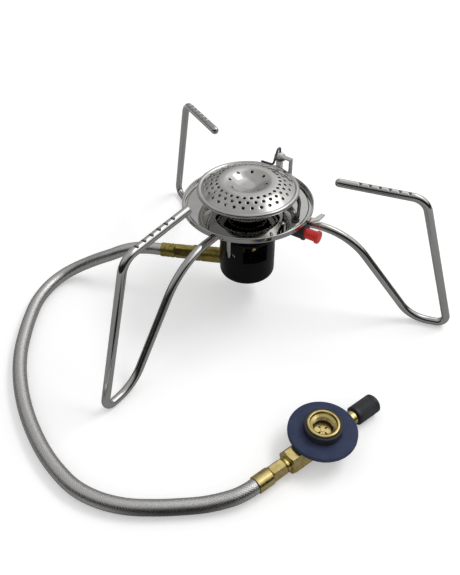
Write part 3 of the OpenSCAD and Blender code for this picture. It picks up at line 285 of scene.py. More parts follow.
def resampled(line, step):
    lengths = run_lengths(line)
    count = max(2, round(lengths[-1] / step))
    at = np.linspace(0, lengths[-1], count + 1)
    return np.stack([np.interp(at, lengths, line[:, k]) for k in range(3)], axis=1)


def line_frames(line, first_side):
    """Direction, side and other side of a line at each of its points, carried without twist."""
    along = np.gradient(line, axis=0)
    along /= np.linalg.norm(along, axis=1)[:, None]
    side = np.array(first_side, float)
    sides = []
    for t in along:
        side = unit(side - t * (side @ t))
        sides.append(side)
    sides = np.array(sides)
    return along, sides, np.cross(along, sides)


def tube_faces(rings, around):
    i, k = np.meshgrid(np.arange(rings - 1), np.arange(around), indexing="ij")
    a, b = i * around + k, i * around + (k + 1) % around
    return np.stack([a, b, b + around, a + around], axis=-1).reshape(-1, 4).tolist()


def bar_faces(rings, around):
    """The faces of a tube, and its two flat ends."""
    last = (rings - 1) * around
    return tube_faces(rings, around) + [list(range(around))[::-1], list(range(last, last + around))]


def ring_corners(line, radius, angle, first_side):
    """A ring of corners about each point of a line. radius is one number, or one for each corner."""
    _, u, v = line_frames(line, first_side)
    outwards = np.cos(angle)[:, None] * u[:, None] + np.sin(angle)[:, None] * v[:, None]
    return (line[:, None] + np.asarray(radius)[..., None] * outwards).reshape(-1, 3)


def swept(name, line, radius, crisp=50):
    """A round bar of one radius along a line."""
    around = 24
    angle = np.arange(around) * math.tau / around
    corners = ring_corners(line, radius, angle, (1, 0, 0))
    return keep_flats(make_piece(name, corners, bar_faces(len(line), around), None, crisp))


def store(mesh, name, values):
    """Keeps a number, or three, at each corner of a mesh, for its finish to read."""
    kind, field = ("FLOAT", "value") if values.ndim == 2 else ("FLOAT_VECTOR", "vector")
    kept = mesh.attributes.new(name, kind, "POINT")
    kept.data.foreach_set(field, values.astype(np.float32).ravel())


# %% [markdown]
# ## Braided hose
# The hose is a rubber tube in a sleeve of braided stainless wire. Flat strands run round it both
# ways at about 45 degrees and pass over and under each other. A bump texture would look right
# from afar only, so the weave is in the mesh: each corner is as far out as the upper of the two
# strands that cross there. The line is the one that the solid hose follows.

# %% Hose route
HOSE_R = 4.1
NUT_START, FERRULE_START, FERRULE_END = 36.5, 48.5, 58.2    # along the inlet, from the hub's axis
hose_start = polar(FERRULE_END, INLET_ANGLE, INLET_Z)
hose_points = [
    hose_start, (-68.03, -4.76, 27.2), (-77, -6.5, 26.6), (-85, -8.9, 24.8), (-93, -10.9, 21.4),
    (-102, -12, 17.2), (-111, -13.4, 12.6), (-119, -16.2, 8.8), (-125.6, -21.2, 6),
    (-130, -28.6, 4.6), (-132.2, -38, 4.1), (-132.4, -50, 4.1), (-130, -64, 4.1), (-126.4, -78, 4.1),
    (-121.8, -92, 4.1), (-115.4, -106, 4.1), (-107, -120, 4.1), (-97.4, -133, 4.1), (-86.6, -145, 4.1),
    (-75, -155.8, 4.1), (-63, -164.6, 4.1), (-50, -171.6, 4.1), (-36, -175, 4.1), (-22, -175.2, 4.1),
    (-8, -172.6, 4.1), (6, -168.6, 4.1), (16, -165.2, 4.3), (24, -161.6, 4.9), (30.4, -158, 5.6),
    (35.93, -153.1, 6), (*VALVE_END, VALVE_Z)]
STRANDS = 18                # in each direction
WEAVE_PITCH = 1.43          # along the hose, from strand to strand
STRAND_THICKNESS, WEAVE_RISE = 0.13, 0.1
hose_line = smooth_route(hose_points, WEAVE_PITCH / 5)

# %% Weave
def strand_crown(across):
    """How round a strand's top is, from its middle at a whole number to its edges."""
    return STRAND_THICKNESS * np.sqrt(np.clip(1 - (2 * (across - np.round(across))) ** 4, 0, 1))


def braided(name, line):
    around = STRANDS * 5
    turn = np.arange(around) / around
    s = run_lengths(line)
    a = STRANDS * turn[None, :] + s[:, None] / WEAVE_PITCH
    b = STRANDS * turn[None, :] - s[:, None] / WEAVE_PITCH
    lift_a = strand_crown(a) + WEAVE_RISE * np.cos(math.pi * (b + np.round(a)))
    lift_b = strand_crown(b) - WEAVE_RISE * np.cos(math.pi * (a + np.round(b)))
    lift = np.maximum(lift_a, lift_b)
    r = HOSE_R - STRAND_THICKNESS - WEAVE_RISE + lift
    corners = ring_corners(line, r, turn * math.tau, (0, 0, 1))
    piece = make_piece(name, corners, bar_faces(len(line), around), None, 180)
    store(piece.data, "lift", (lift + WEAVE_RISE) / (STRAND_THICKNESS + 2 * WEAVE_RISE))
    store(piece.data, "upper", lift_a > lift_b)
    store(piece.data, "strand", np.stack([a, b, np.zeros_like(a)], axis=-1))
    return piece


hose = braided("braided_hose", hose_line)
print("weave:", len(hose.data.vertices), "corners")

# %% [markdown]
# ## Cutting holes
# Punched and drilled holes are cut with Blender's boolean modifier, which is applied at once, so
# that the piece is a plain mesh with the hole in it.

# %% Boolean and eased solids
def baked(piece):
    """Applies a piece's modifiers to its mesh."""
    solved = piece.evaluated_get(bpy.context.evaluated_depsgraph_get())
    mesh = bpy.data.meshes.new_from_object(solved)
    piece.modifiers.clear()
    piece.data = mesh
    return piece


def combined(piece, tool, how="DIFFERENCE", crisp=38):
    """Cuts the tool from the piece, or joins it on, and removes the tool."""
    step = piece.modifiers.new("combine", "BOOLEAN")
    step.operation = how
    step.solver = "MANIFOLD"
    step.object = tool
    for m in list(piece.modifiers)[:-1]:
        piece.modifiers.remove(m)
    baked(piece)
    bpy.data.objects.remove(tool)
    tidy_mesh(piece, crisp)
    return keep_flats(piece)


def solid_copy(node, name):
    """A piece with the same surface as a CAD node, its flat faces whole again."""
    source = frame["nodes"][node]
    shape = bmesh.new()
    shape.from_mesh(source.data)
    bmesh.ops.remove_doubles(shape, verts=shape.verts, dist=2e-6)
    bmesh.ops.dissolve_degenerate(shape, edges=shape.edges, dist=2e-6)
    bmesh.ops.dissolve_limit(shape, angle_limit=math.radians(0.6), verts=shape.verts, edges=shape.edges)
    mesh = bpy.data.meshes.new(name)
    shape.to_mesh(mesh)
    shape.free()
    piece = bpy.data.objects.new(name, mesh)
    bpy.context.scene.collection.objects.link(piece)
    return piece


def rounded_edges(piece, width, from_angle):
    """Adds a small rounding along the edges that bend by more than an angle in degrees."""
    bevel = piece.modifiers.new("edge", "BEVEL")
    bevel.width, bevel.segments = width * MM, 2
    bevel.limit_method, bevel.angle_limit = "ANGLE", math.radians(from_angle)


def eased(node, name, width):
    """A CAD node with a small rounding along its crisp edges."""
    piece = solid_copy(node, name)
    rounded_edges(piece, width, 40)
    baked(piece)
    tidy_mesh(piece)
    return keep_flats(piece)


# %% [markdown]
# ## Finishes
# A finish is a material made of nodes. Each one starts from the Principled shader and gets the
# detail of its real surface from noise in the stove's own space: drawing marks on wire, a faint
# orange peel on polished sheet, tarnish on brass. Numbers that are the same all over are set on
# the shader itself.

# %% Node helpers
def map_range(nodes, links, value, start, stop, low, high, easing="LINEAR"):
    """Turns start to stop into low to high, and holds it there."""
    node = nodes.new("ShaderNodeMapRange")
    node.interpolation_type = easing
    for socket, number in zip(("From Min", "From Max", "To Min", "To Max"), (start, stop, low, high)):
        node.inputs[socket].default_value = number
    links.new(value, node.inputs["Value"])
    return node.outputs["Result"]


def calculated(kind, nodes, links, operation, *values):
    """A Math or Vector Math node. Each value is a number, a vector or another node's output."""
    node = nodes.new(kind)
    node.operation = operation
    for socket, value in zip(node.inputs, values):
        if isinstance(value, bpy.types.NodeSocket):
            links.new(value, socket)
        else:
            socket.default_value = value
    return node.outputs["Value"] if operation == "LENGTH" else node.outputs[0]


# %% Finish
class Finish:
    """A material with short ways to add what varies over its surface."""

    def __init__(self, name, metallic=0.0, ior=1.5, coat=0.0, coat_roughness=0.1):
        self.material = bpy.data.materials.new(name)
        self.material.use_nodes = True
        tree = self.material.node_tree
        self.nodes, self.links = tree.nodes, tree.links
        self.shader = self.nodes["Principled BSDF"]
        self.shader.inputs["Metallic"].default_value = metallic
        self.shader.inputs["IOR"].default_value = ior
        self.shader.inputs["Coat Weight"].default_value = coat
        self.shader.inputs["Coat Roughness"].default_value = coat_roughness
        self.space = self.nodes.new("ShaderNodeTexCoord").outputs["Object"]

    def clouds(self, per_mm, detail=3, stretch=(1, 1, 1), space=None):
        """Noise with that many features per millimetre."""
        per_metre = [per_mm / MM * k for k in stretch]
        scaled = calculated("ShaderNodeVectorMath", self.nodes, self.links, "MULTIPLY",
                            space or self.space, per_metre)
        noise = self.nodes.new("ShaderNodeTexNoise")
        noise.inputs["Scale"].default_value = 1
        noise.inputs["Detail"].default_value = detail
        self.links.new(scaled, noise.inputs["Vector"])
        return noise.outputs["Fac"]

    def between(self, factor, low, high, start=0.3, stop=0.7):
        return map_range(self.nodes, self.links, factor, start, stop, low, high)

    def blend(self, factor, first, second):
        mix = self.nodes.new("ShaderNodeMix")
        mix.data_type = "RGBA"
        self.links.new(factor, mix.inputs["Factor"])
        for socket, value in ((mix.inputs[6], first), (mix.inputs[7], second)):
            if isinstance(value, tuple):
                socket.default_value = (*value, 1)
            else:
                self.links.new(value, socket)
        return mix.outputs[2]

    def math(self, operation, *values):
        return calculated("ShaderNodeMath", self.nodes, self.links, operation, *values)

    def attribute(self, name, output="Fac"):
        node = self.nodes.new("ShaderNodeAttribute")
        node.attribute_name = name
        return node.outputs[output]

    def colour(self, source):
        self.links.new(source, self.shader.inputs["Base Color"])
        return self

    def roughness(self, source):
        self.links.new(source, self.shader.inputs["Roughness"])
        return self

    def relief(self, height, depth_mm, strength=1.0):
        bump = self.nodes.new("ShaderNodeBump")
        bump.inputs["Strength"].default_value = strength
        bump.inputs["Distance"].default_value = depth_mm * MM
        self.links.new(height, bump.inputs["Height"])
        self.links.new(bump.outputs["Normal"], self.shader.inputs["Normal"])
        return self


def metal(name, light, dark, smooth, rough, peel, patch):
    """A metal whose tone drifts from light to dark and whose gloss drifts from smooth to rough."""
    f = Finish(name, metallic=1.0)
    f.colour(f.blend(f.between(f.clouds(patch, 4), 0, 1), light, dark))
    f.roughness(f.between(f.clouds(patch * 6, 4), smooth, rough))
    f.relief(f.clouds(1.5, 2), peel)
    return f.material


# %% [markdown]
# ### Steel
# The cap, bowl and tray are pressed from stainless sheet and polished. The wire is drawn and
# bright, with hair lines along it, so its noise is stretched in a space that the sweep stores:
# how far along the wire, and how far round it.

# %% Steel finishes
polished_steel = metal("polished_steel", (0.70, 0.69, 0.665), (0.58, 0.57, 0.55), 0.07, 0.15, 0.0010, 0.06)
pressed_steel = metal("pressed_steel", (0.64, 0.635, 0.615), (0.54, 0.535, 0.52), 0.025, 0.075, 0.0008, 0.06)
screw_steel = metal("screw_steel", (0.64, 0.64, 0.62), (0.48, 0.48, 0.47), 0.18, 0.35, 0.003, 0.3)


def drawn_wire():
    f = Finish("drawn_wire", metallic=1.0)
    along = f.attribute("wire_place", "Vector")
    drift = f.between(f.clouds(0.02, 4, (1, 4, 1), along), 0, 1)
    bright = f.blend(drift, (0.72, 0.71, 0.695), (0.60, 0.595, 0.58))
    # Painted shade: the bottoms of the grip notches are darkened to near black.
    f.colour(f.blend(f.attribute("notch_shade"), bright, (0.07, 0.068, 0.065)))
    hair_lines = (1, 40, 1)
    f.roughness(f.between(f.clouds(0.05, 5, hair_lines, along), 0.07, 0.17))
    f.relief(f.clouds(0.06, 3, hair_lines, along), 0.0015)
    return f.material


leg_steel = drawn_wire()
tinted_steel = metal("tinted_steel", (0.22, 0.21, 0.23), (0.12, 0.115, 0.13), 0.22, 0.38, 0.003, 0.3)
steels = (polished_steel, pressed_steel, screw_steel, leg_steel, tinted_steel)
print("steels:", [steel.name for steel in steels])

# %% [markdown]
# ### Brass, enamel, ceramic, plastics and rubber
# The fittings on the burner are old brass with a brown-green film; the valve's are turned bright.
# The hub is die-cast and enamelled in black, and the insulator is glazed. The plastics differ
# mostly in gloss: the button is shiny, the knob satin and the big disc chalky.

# %% Other finishes
def tarnished_brass():
    f = Finish("tarnished_brass", metallic=1.0)
    film = f.between(f.clouds(0.35, 6), 0, 1, 0.35, 0.65)
    f.colour(f.blend(film, (0.56, 0.45, 0.13), (0.34, 0.27, 0.08)))
    f.roughness(f.between(f.clouds(0.8, 5), 0.26, 0.46))
    f.relief(f.clouds(3, 3), 0.006)
    return f.material


def turned_brass():
    f = Finish("turned_brass", metallic=1.0)
    film = f.between(f.clouds(0.25, 5), 0, 1, 0.4, 0.7)
    f.colour(f.blend(film, (0.80, 0.655, 0.29), (0.62, 0.48, 0.17)))
    f.roughness(f.between(f.clouds(0.6, 4), 0.14, 0.28))
    f.relief(f.clouds(2, 2), 0.002)
    return f.material


def enamel():
    f = Finish("black_enamel", ior=1.22, coat=0.06, coat_roughness=0.05)
    f.colour(f.blend(f.between(f.clouds(0.3, 3), 0, 1), (0.002, 0.002, 0.0025), (0.004, 0.004, 0.0045)))
    f.roughness(f.between(f.clouds(0.5, 3), 0.14, 0.24))
    f.relief(f.clouds(0.9, 3), 0.006)
    return f.material


def ceramic():
    f = Finish("white_ceramic", ior=1.54, coat=0.5, coat_roughness=0.05)
    f.colour(f.blend(f.between(f.clouds(0.4, 3), 0, 1), (0.84, 0.83, 0.80), (0.74, 0.725, 0.69)))
    f.roughness(f.between(f.clouds(1, 2), 0.18, 0.34))
    f.relief(f.clouds(1.2, 2), 0.003)
    return f.material


def plastic(name, base, worn, smooth, rough, grain_per_mm, grain_mm, coat=0.0):
    f = Finish(name, ior=1.47, coat=coat, coat_roughness=0.15)
    f.colour(f.blend(f.between(f.clouds(0.12, 5), 0, 1), base, worn))
    f.roughness(f.between(f.clouds(0.4, 4), smooth, rough))
    f.relief(f.clouds(grain_per_mm, 3), grain_mm)
    return f.material


dull_brass = tarnished_brass()
bright_brass = turned_brass()
black_enamel = enamel()
white_ceramic = ceramic()
black_rubber = plastic("black_rubber", (0.022, 0.022, 0.022), (0.035, 0.034, 0.033), 0.55, 0.75, 3, 0.006)
black_plastic = plastic("black_plastic", (0.016, 0.017, 0.020), (0.026, 0.027, 0.031), 0.30, 0.42, 4, 0.004)
disc_plastic = plastic("disc_plastic", (0.018, 0.029, 0.078), (0.030, 0.042, 0.098), 0.52, 0.70, 5, 0.006)
red_plastic = plastic("red_plastic", (0.66, 0.028, 0.020), (0.58, 0.022, 0.018), 0.16, 0.26, 1.5, 0.002, 0.3)
lead_sleeve = plastic("lead_sleeve", (0.014, 0.014, 0.015), (0.024, 0.023, 0.023), 0.28, 0.42, 2, 0.004)
print("others:", dull_brass.name, bright_brass.name, black_enamel.name, white_ceramic.name, "and 5 more")


# %% [markdown]
# ### Braided steel
# Each strand of the hose's braid is a few fine wires side by side. The weave stored which strand
# is on top at each corner and how far across it the corner lies, so the finish draws the wires'
# lines along that strand, and paints shade into the dips between strands.

# %% Braid finish
WIRES_IN_STRAND = 6


def braid():
    f = Finish("braid", metallic=1.0)
    split = f.nodes.new("ShaderNodeSeparateXYZ")
    f.links.new(f.attribute("strand", "Vector"), split.inputs[0])
    across = f.nodes.new("ShaderNodeMix")
    f.links.new(f.attribute("upper"), across.inputs["Factor"])
    f.links.new(split.outputs["Y"], across.inputs["A"])
    f.links.new(split.outputs["X"], across.inputs["B"])
    phase = f.math("MULTIPLY", across.outputs[0], WIRES_IN_STRAND * math.pi)
    wires = f.math("ABSOLUTE", f.math("SINE", phase))
    # Painted shade: corners low in the dips between strands are darkened to near black.
    depth = f.between(f.attribute("lift"), 0, 1, 0.15, 0.75)
    f.colour(f.blend(depth, (0.05, 0.05, 0.048), (0.74, 0.73, 0.72)))
    f.roughness(f.between(f.clouds(0.5, 3), 0.20, 0.32))
    f.relief(wires, 0.02, 0.7)
    return f.material


braid_steel = braid()

FINISH_OF_SLOT = {
    "polished_steel": polished_steel, "pressed_steel": pressed_steel, "leg_steel": leg_steel,
    "screw_steel": screw_steel, "black_casting": black_enamel, "dull_brass": dull_brass,
    "bright_brass": bright_brass, "black_rubber": black_rubber, "black_plastic": black_plastic,
    "disc_plastic": disc_plastic, "red_plastic": red_plastic, "white_ceramic": white_ceramic,
    "lead_sleeve": lead_sleeve, "braid": braid_steel, "tinted_steel": tinted_steel}


def finished(piece, slot, body, *nodes):
    """Gives a piece its finish and body, and says which nodes it stands for."""
    piece.data.materials.clear()
    piece.data.materials.append(FINISH_OF_SLOT[slot])
    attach(piece, body)
    if nodes:
        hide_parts(*nodes)
    return piece


finished(hose, "braid", "burner", "hose")
slot_of_node = {s["node"]: s["material_slot"] for s in frame["record"]["subparts"]}
for name, node in frame["nodes"].items():
    for held in node.material_slots:
        held.material = FINISH_OF_SLOT[slot_of_node[name]]
print("finishes:", len(FINISH_OF_SLOT))


# %% [markdown]
# ## Legs
# Each leg is one length of 5 mm wire, bent in a plane: up out of its socket, out under the tray,
# down to the ground, and back up and in again to the arm that carries the pot. The bends are true
# arcs. The grip notches are pressed into the arm's upper side, so the sweep lowers the top of its
# rings there, with a soft lip on either side.

# %% Leg wire
WIRE_R = 2.5
LEG_OUTLINE = [(0, 37.6), (0, 62.3), (45.6, 62.3), (94.7, 2.5), (117.7, 2.5), (87.5, 91.5), (38.3, 94)]
LEG_BENDS = [6, 47, 24, 5, 11]
ARM_LENGTH = 60
NOTCHES, NOTCH_START, NOTCH_PITCH, NOTCH_R, NOTCH_DEPTH = 6, 50, 5.6, 1.2, 0.6
LIP_HEIGHT, LIP_PLACE, LIP_WIDTH = 0.12, 1.15, 0.35         # of the metal pushed up beside a notch
NECK_Z, NECK_HALF, NECK_R = 40.9, 1.6, 2.07                 # groove for the set screw
END_CHAMFER = 0.6


def bent_line(points, bends):
    """A polyline with its corners rounded by arcs."""
    p = [np.array(q, float) for q in points]
    line = [p[0]]
    for i, radius in enumerate(bends, 1):
        a, b = unit(p[i] - p[i - 1]), unit(p[i + 1] - p[i])
        turn = math.atan2(a[0] * b[1] - a[1] * b[0], a @ b)
        setback = radius * math.tan(abs(turn) / 2)
        start = p[i] - a * setback
        side = np.array([-a[1], a[0]]) * math.copysign(1, turn)
        centre = start + side * radius
        by_length, by_angle = math.ceil(abs(turn) * radius / 1.2), math.ceil(math.degrees(abs(turn)) / 5)
        count = max(6, by_length, by_angle)
        for k in range(count + 1):
            c, s = math.cos(turn * k / count), math.sin(turn * k / count)
            v = start - centre
            line.append(centre + [v[0] * c - v[1] * s, v[0] * s + v[1] * c])
    line.append(p[-1])
    return np.array(line)


def stations(line, coarse, fine, fine_from):
    """Even steps along a line, finer past the last bend, where the notches are."""
    lengths = run_lengths(line)
    even = np.concatenate([np.arange(0, fine_from, coarse), np.arange(fine_from, lengths[-1], fine)])
    at = sorted(set(np.round(lengths, 4)) | set(even))
    kept = [at[0]]
    for s in at[1:]:
        if s - kept[-1] > 0.05:
            kept.append(s)
    kept[-1] = lengths[-1]
    kept = np.array(kept)
    return kept, np.stack([np.interp(kept, lengths, line[:, k]) for k in range(2)], axis=1)


def wire_stations():
    """Stations, places, directions and radii along a leg, from its socket to its half-ball tip."""
    line = bent_line(LEG_OUTLINE, LEG_BENDS)
    s, at = stations(line, 3, 0.2, run_lengths(line)[-1] - ARM_LENGTH)
    along = np.gradient(at, s, axis=0)
    along /= np.linalg.norm(along, axis=1)[:, None]
    tip = np.linspace(0, math.pi / 2, 9)[1:-1]
    ball = np.sin(tip)[:, None] * WIRE_R * along[-1]
    at = np.vstack([at, at[-1] + ball, at[-1] + WIRE_R * 0.999 * along[-1]])
    along = np.vstack([along, np.repeat(along[-1:], len(tip) + 1, axis=0)])
    radius = np.concatenate([np.full(len(s), WIRE_R), np.cos(tip) * WIRE_R, [0.1]])
    s = np.concatenate([s, s[-1] + np.sin(tip) * WIRE_R, [s[-1] + WIRE_R]])
    end = s < END_CHAMFER
    radius[end] = WIRE_R - END_CHAMFER + s[end]
    radius[(np.abs(at[:, 1] - NECK_Z) < NECK_HALF) & (at[:, 0] < 1)] = NECK_R
    return s, at, along, radius


def pressed_notches(rise, at, arm):
    """Lowers the arm's top in each notch, and returns a mask that is 1 at the bottom of a notch, where shade
    is painted on the wire.
    """
    notch_shade = np.zeros_like(rise)
    for k in range(NOTCHES):
        reach = at[:, 0] - (NOTCH_START + k * NOTCH_PITCH)
        gap = np.clip(1 - (reach / NOTCH_R) ** 2, 0, 1)
        floor = WIRE_R + NOTCH_R - NOTCH_DEPTH - NOTCH_R * np.sqrt(gap)
        lip = WIRE_R + LIP_HEIGHT * np.exp(-((np.abs(reach) - LIP_PLACE) / LIP_WIDTH) ** 2)
        limit = np.where(gap > 0, floor, lip)[:, None]
        in_notch = (arm & (gap > 0))[:, None]
        # the mask of painted shade at the bottom of each notch
        notch_shade = np.where(in_notch & (rise > limit), np.exp(-(reach / 0.75) ** 2)[:, None], notch_shade)
        rise = np.where(in_notch, np.minimum(rise, limit), rise)
    return rise, notch_shade


def leg_wire(name, socket, direction):
    around = 40
    s, at, along, radius = wire_stations()
    outer = np.stack([along[:, 1], -along[:, 0]], axis=1)       # on the arm this points up
    a = np.arange(around) * math.tau / around
    side = radius[:, None] * np.sin(a)
    arm = s > s[-1] - WIRE_R - ARM_LENGTH
    rise, notch_shade = pressed_notches(radius[:, None] * np.cos(a), at, arm)
    plane = at[:, None, :] + rise[..., None] * outer[:, None, :]
    corners = np.stack([plane[..., 0], side, plane[..., 1]], axis=-1).reshape(-1, 3)
    place = upright_at(*polar(LEG_SOCKET_R, socket, 0), direction)
    piece = make_piece(name, corners, bar_faces(len(s), around), place, 42)
    wire_place = np.zeros((len(s), around, 3))
    wire_place[..., 0] = s[:, None] * MM
    wire_place[..., 1] = np.sin(a) * WIRE_R * MM
    wire_place[..., 2] = np.cos(a) * WIRE_R * MM
    store(piece.data, "wire_place", wire_place)
    # the notch mask, which the wire's finish turns into painted shade
    store(piece.data, "notch_shade", notch_shade)
    return piece


LEGS = (("right_leg", 0, -3), ("back_left_leg", 120, 129), ("front_left_leg", 240, 246.5))
for name, socket, direction in LEGS:
    leg = finished(leg_wire(name + "_wire", socket, direction), "leg_steel", name, name)
    print(leg.name, len(leg.data.vertices), "corners")

# %% [markdown]
# ## Burner cap
# The cap is one disc of sheet: a dome with a crater pressed into its middle and its rim rolled
# over the bowl. Its outline is written as a smooth curve, so the sheen runs over it without
# facets. The flame holes are punched square to the sheet, with a slightly drawn-in lip, which is
# why each cutter is set along the dome's own normal and widens at the skin.

# %% Cap
CAP_R, BEAD_R, RIM_Z, SHEET = 31.2, 1.5, 81.2, 0.7
CREST_R, CREST_Z, CRATER_Z = 16, 87.2, 83.4
CRATER_FLAT_R, CRATER_WALL = 3, 12
SHOULDER = (CAP_R - 2.7, RIM_Z + 1.05)
# For each ring of holes: its radius, its count and its turn in holes
FLAME_HOLES = [(19.2, 30, 0), (22.35, 30, 0.5), (25.5, 30, 1)]
CRATER_HOLES = (11.1, 8, 0)


def dome_height(r):
    """Height of the cap's skin at a distance from the axis."""
    if r > CREST_R:
        t = (SHOULDER[0] - r) / (SHOULDER[0] - CREST_R)
        return SHOULDER[1] + (CREST_Z - SHOULDER[1]) * math.sin(math.pi / 2 * min(t, 1))
    up_the_wall = min(max(r - CRATER_FLAT_R, 0) / CRATER_WALL, 1)
    wave = 0.5 - 0.5 * math.cos(math.pi * up_the_wall)
    return CRATER_Z + (CREST_Z - CRATER_Z) * wave ** 1.25


def cap_outline():
    out_to_rim = np.concatenate([np.linspace(0, CREST_R, 34), np.linspace(CREST_R, SHOULDER[0], 26)[1:]])
    skin = [(r, dome_height(r)) for r in out_to_rim]
    centre = CAP_R - BEAD_R
    around_bead = np.radians(np.linspace(128, -118, 26))
    roll = [(centre + BEAD_R * math.cos(a), RIM_Z + BEAD_R * math.sin(a)) for a in around_bead]
    under = [(r, dome_height(r) - SHEET) for r in np.linspace(SHOULDER[0] - 0.9, 0, 46)]
    return skin + roll + [(centre - 1.2, RIM_Z + 0.4)] + under


cap_corners, cap_faces = lathe_grid([(max(float(r), 0.0), float(z)) for r, z in cap_outline()], 192, False)
cap = make_piece("cap_pressing", cap_corners, cap_faces, None, 60)


def punches():
    """One tool with every punch of the cap: a stem, and a mouth that is drawn in at the skin."""
    profile = [(0, -3.2), (0.9, -3.2), (0.9, -0.32), (0.94, -0.2), (1.02, -0.08), (1.16, 0.03), (1.3, 0.4),
               (0, 0.4)]
    places = []
    for ring in (*FLAME_HOLES, CRATER_HOLES):
        r, count, shift = ring
        lean = math.atan((dome_height(r - 0.1) - dome_height(r + 0.1)) / 0.2)
        if ring is CRATER_HOLES:
            lean *= 0.6
        at_skin = move(r, 0, dome_height(r)) @ Matrix.Rotation(lean, 4, "Y")
        places += [turn_z((i + shift) * 360 / count) @ at_skin for i in range(count)]
    return make_piece("punches", *repeated(*lathe_grid(profile, 20, False), places))


cap = combined(cap, punches(), crisp=50)
finished(cap, "polished_steel", "burner", "burner_cap")
print("cap:", len(cap.data.polygons), "faces")

# %% [markdown]
# ## Bowl, tray and tube
# Under the cap, the bowl is a second pressing with a stepped neck, and the tray is a shallow pan
# with a rolled rim and a raised floor. Both are lathe outlines with a fillet at each bend, as
# sheet bends in a press. The tray is turned whole, and its rivets pass through it.

# %% Bowl and tray
TUBE_BORE = 9.05            # of what the mixing tube goes through: its own radius and a running fit
TUBE_R, TUBE_INNER_R, NECK_TOP = 9, 7.5, 74.15
bowl = turned("bowl_pressing", [
    (TUBE_BORE, 70.7), (12, 70.7, 0.5), (12, 73.4, 0.3), (14.4, 73.4, 0.55), (14.4, 75.15, 0.7),
    (22.12, 76.75, 5), (28.05, 80.85, 1), (29.85, 80.85), (29.85, 81.55), (27.75, 81.55, 0.8),
    (21.8, 77.45, 5), (13.7, 75.64, 0.4), (12.9, NECK_TOP, 0.3), (TUBE_BORE, NECK_TOP)], sides=160, crisp=50)
finished(bowl, "pressed_steel", "burner", "burner_bowl")

TRAY_R, TRAY_Z, TRAY_FLOOR, TRAY_TOP = 40.5, 69.5, 70.1, 70.7
tray_rim = [(40 + 0.5 * math.cos(a), 72.8 + 0.5 * math.sin(a)) for a in np.radians(np.linspace(0, 180, 9))]
tray = turned("tray_pan", [
    (TUBE_BORE, TRAY_FLOOR), (36.8, TRAY_FLOOR, 0.5), (37.4, TRAY_Z, 0.5), (TRAY_R, TRAY_Z, 1.2), *tray_rim,
    (39.55, 72.5, 0.2), (39.9, 72.0, 0.3), (39.9, TRAY_Z + 0.6, 0.7), (37.7, TRAY_Z + 0.6, 0.5),
    (37.1, TRAY_TOP, 0.5), (TUBE_BORE, TRAY_TOP)], sides=224, crisp=50)
finished(tray, "pressed_steel", "burner", "drip_tray")

tube = turned("mixing_tube_turned", [
    (TUBE_INNER_R, 47.5), (8.6, 44.5, 0.15), (TUBE_R, 44.5, 0.2), (TUBE_R, 47), (10.2, 47, 0.2), (10.2, 48.5),
    (TUBE_R, 48.5), (TUBE_R, NECK_TOP), (TUBE_INNER_R, NECK_TOP)], sides=96)
print("bowl, tray and tube:", [len(piece.data.vertices) for piece in (bowl, tray, tube)], "corners")
finished(tube, "pressed_steel", "burner", "mixing_tube")

# %% [markdown]
# ## Nuts and hexagon bars
# Hexagon bar is faced on a lathe, which cuts its six corners back at about 30 degrees. So a
# hexagon prism is intersected with a turned blank whose ends are chamfered: the curved scallops
# on each flat come out by themselves.

# %% Hexagons
def hexagon_prism(name, corner_r, start, end, place):
    corners = [(*polar(corner_r, 30 + 60 * k, 0)[:2], z) for z in (start, end) for k in range(6)]
    faces = [[k, (k + 1) % 6, (k + 1) % 6 + 6, k + 6] for k in range(6)]
    return make_piece(name, corners, faces + [list(range(6))[::-1], list(range(6, 12))], place)


def hexagon_bar(name, across_flats, start, end, place, chamfer=0.6, bore=0.0):
    corner_r = across_flats / math.sqrt(3)
    prism = hexagon_prism(name, corner_r, start - 0.5, end + 0.5, place)
    face_r, blank_r = across_flats / 2 - chamfer * 0.35, corner_r + 0.1
    drop = (blank_r - face_r) * math.tan(math.radians(30))
    blank = turned(name + "_blank", [
        (bore, start), (face_r, start), (blank_r, start + drop),
        (blank_r, end - drop), (face_r, end), (bore, end)], place, sides=96)
    piece = combined(prism, blank, "INTERSECT", crisp=18)
    piece.modifiers.clear()
    rounded_edges(piece, 0.12, 25)
    baked(piece)
    tidy_mesh(piece, 32)
    return keep_flats(piece)


tray_nut = hexagon_bar("tray_nut_faced", 19, 66.1, TRAY_FLOOR, IN_MM, bore=TUBE_BORE)
finished(tray_nut, "screw_steel", "burner", "tray_nut")
print("tray nut:", len(tray_nut.data.polygons), "faces")

# %% [markdown]
# ## Hub
# The hub is a die casting with three posts between its air windows. Enamel never leaves a sharp
# corner, so its solid is copied, its edges are eased and the cover plate and screws get the same
# treatment with smaller roundings.

# %% Hub, plate and screws
for node, name, width, slot in (
        ("hub_casting", "hub_enamelled", 0.45, "black_casting"),
        ("hub_cover_plate", "cover_plate_eased", 0.2, "black_casting"),
        ("plate_screws", "plate_screws_eased", 0.12, "screw_steel"),
        ("pin_screws", "pin_screws_eased", 0.12, "screw_steel"),
        ("block_screw", "block_screw_eased", 0.15, "screw_steel")):
    piece = finished(eased(node, name, width), slot, "burner", node)
    print(name, len(piece.data.vertices), "corners")

# %% [markdown]
# ## Jet, block and inlet
# Behind the windows the brass block holds the jet. The inlet tube, the hexagon and the crimped
# ferrule follow on one axis. They are turned with small chamfers, and age has darkened the ones
# outside the hub.

# %% Jet and inlet
jet_block = turned("jet_block_turned", [
    (0, 21.5), (6.45, 21.5, 0.3), (6.45, 34.5, 0.4), (2.55, 34.5), (2.55, 30.5), (0, 30.5)], sides=64)
finished(jet_block, "bright_brass", "burner", "jet_block")
finished(eased("jet", "jet_turned", 0.12), "bright_brass", "burner", "jet")

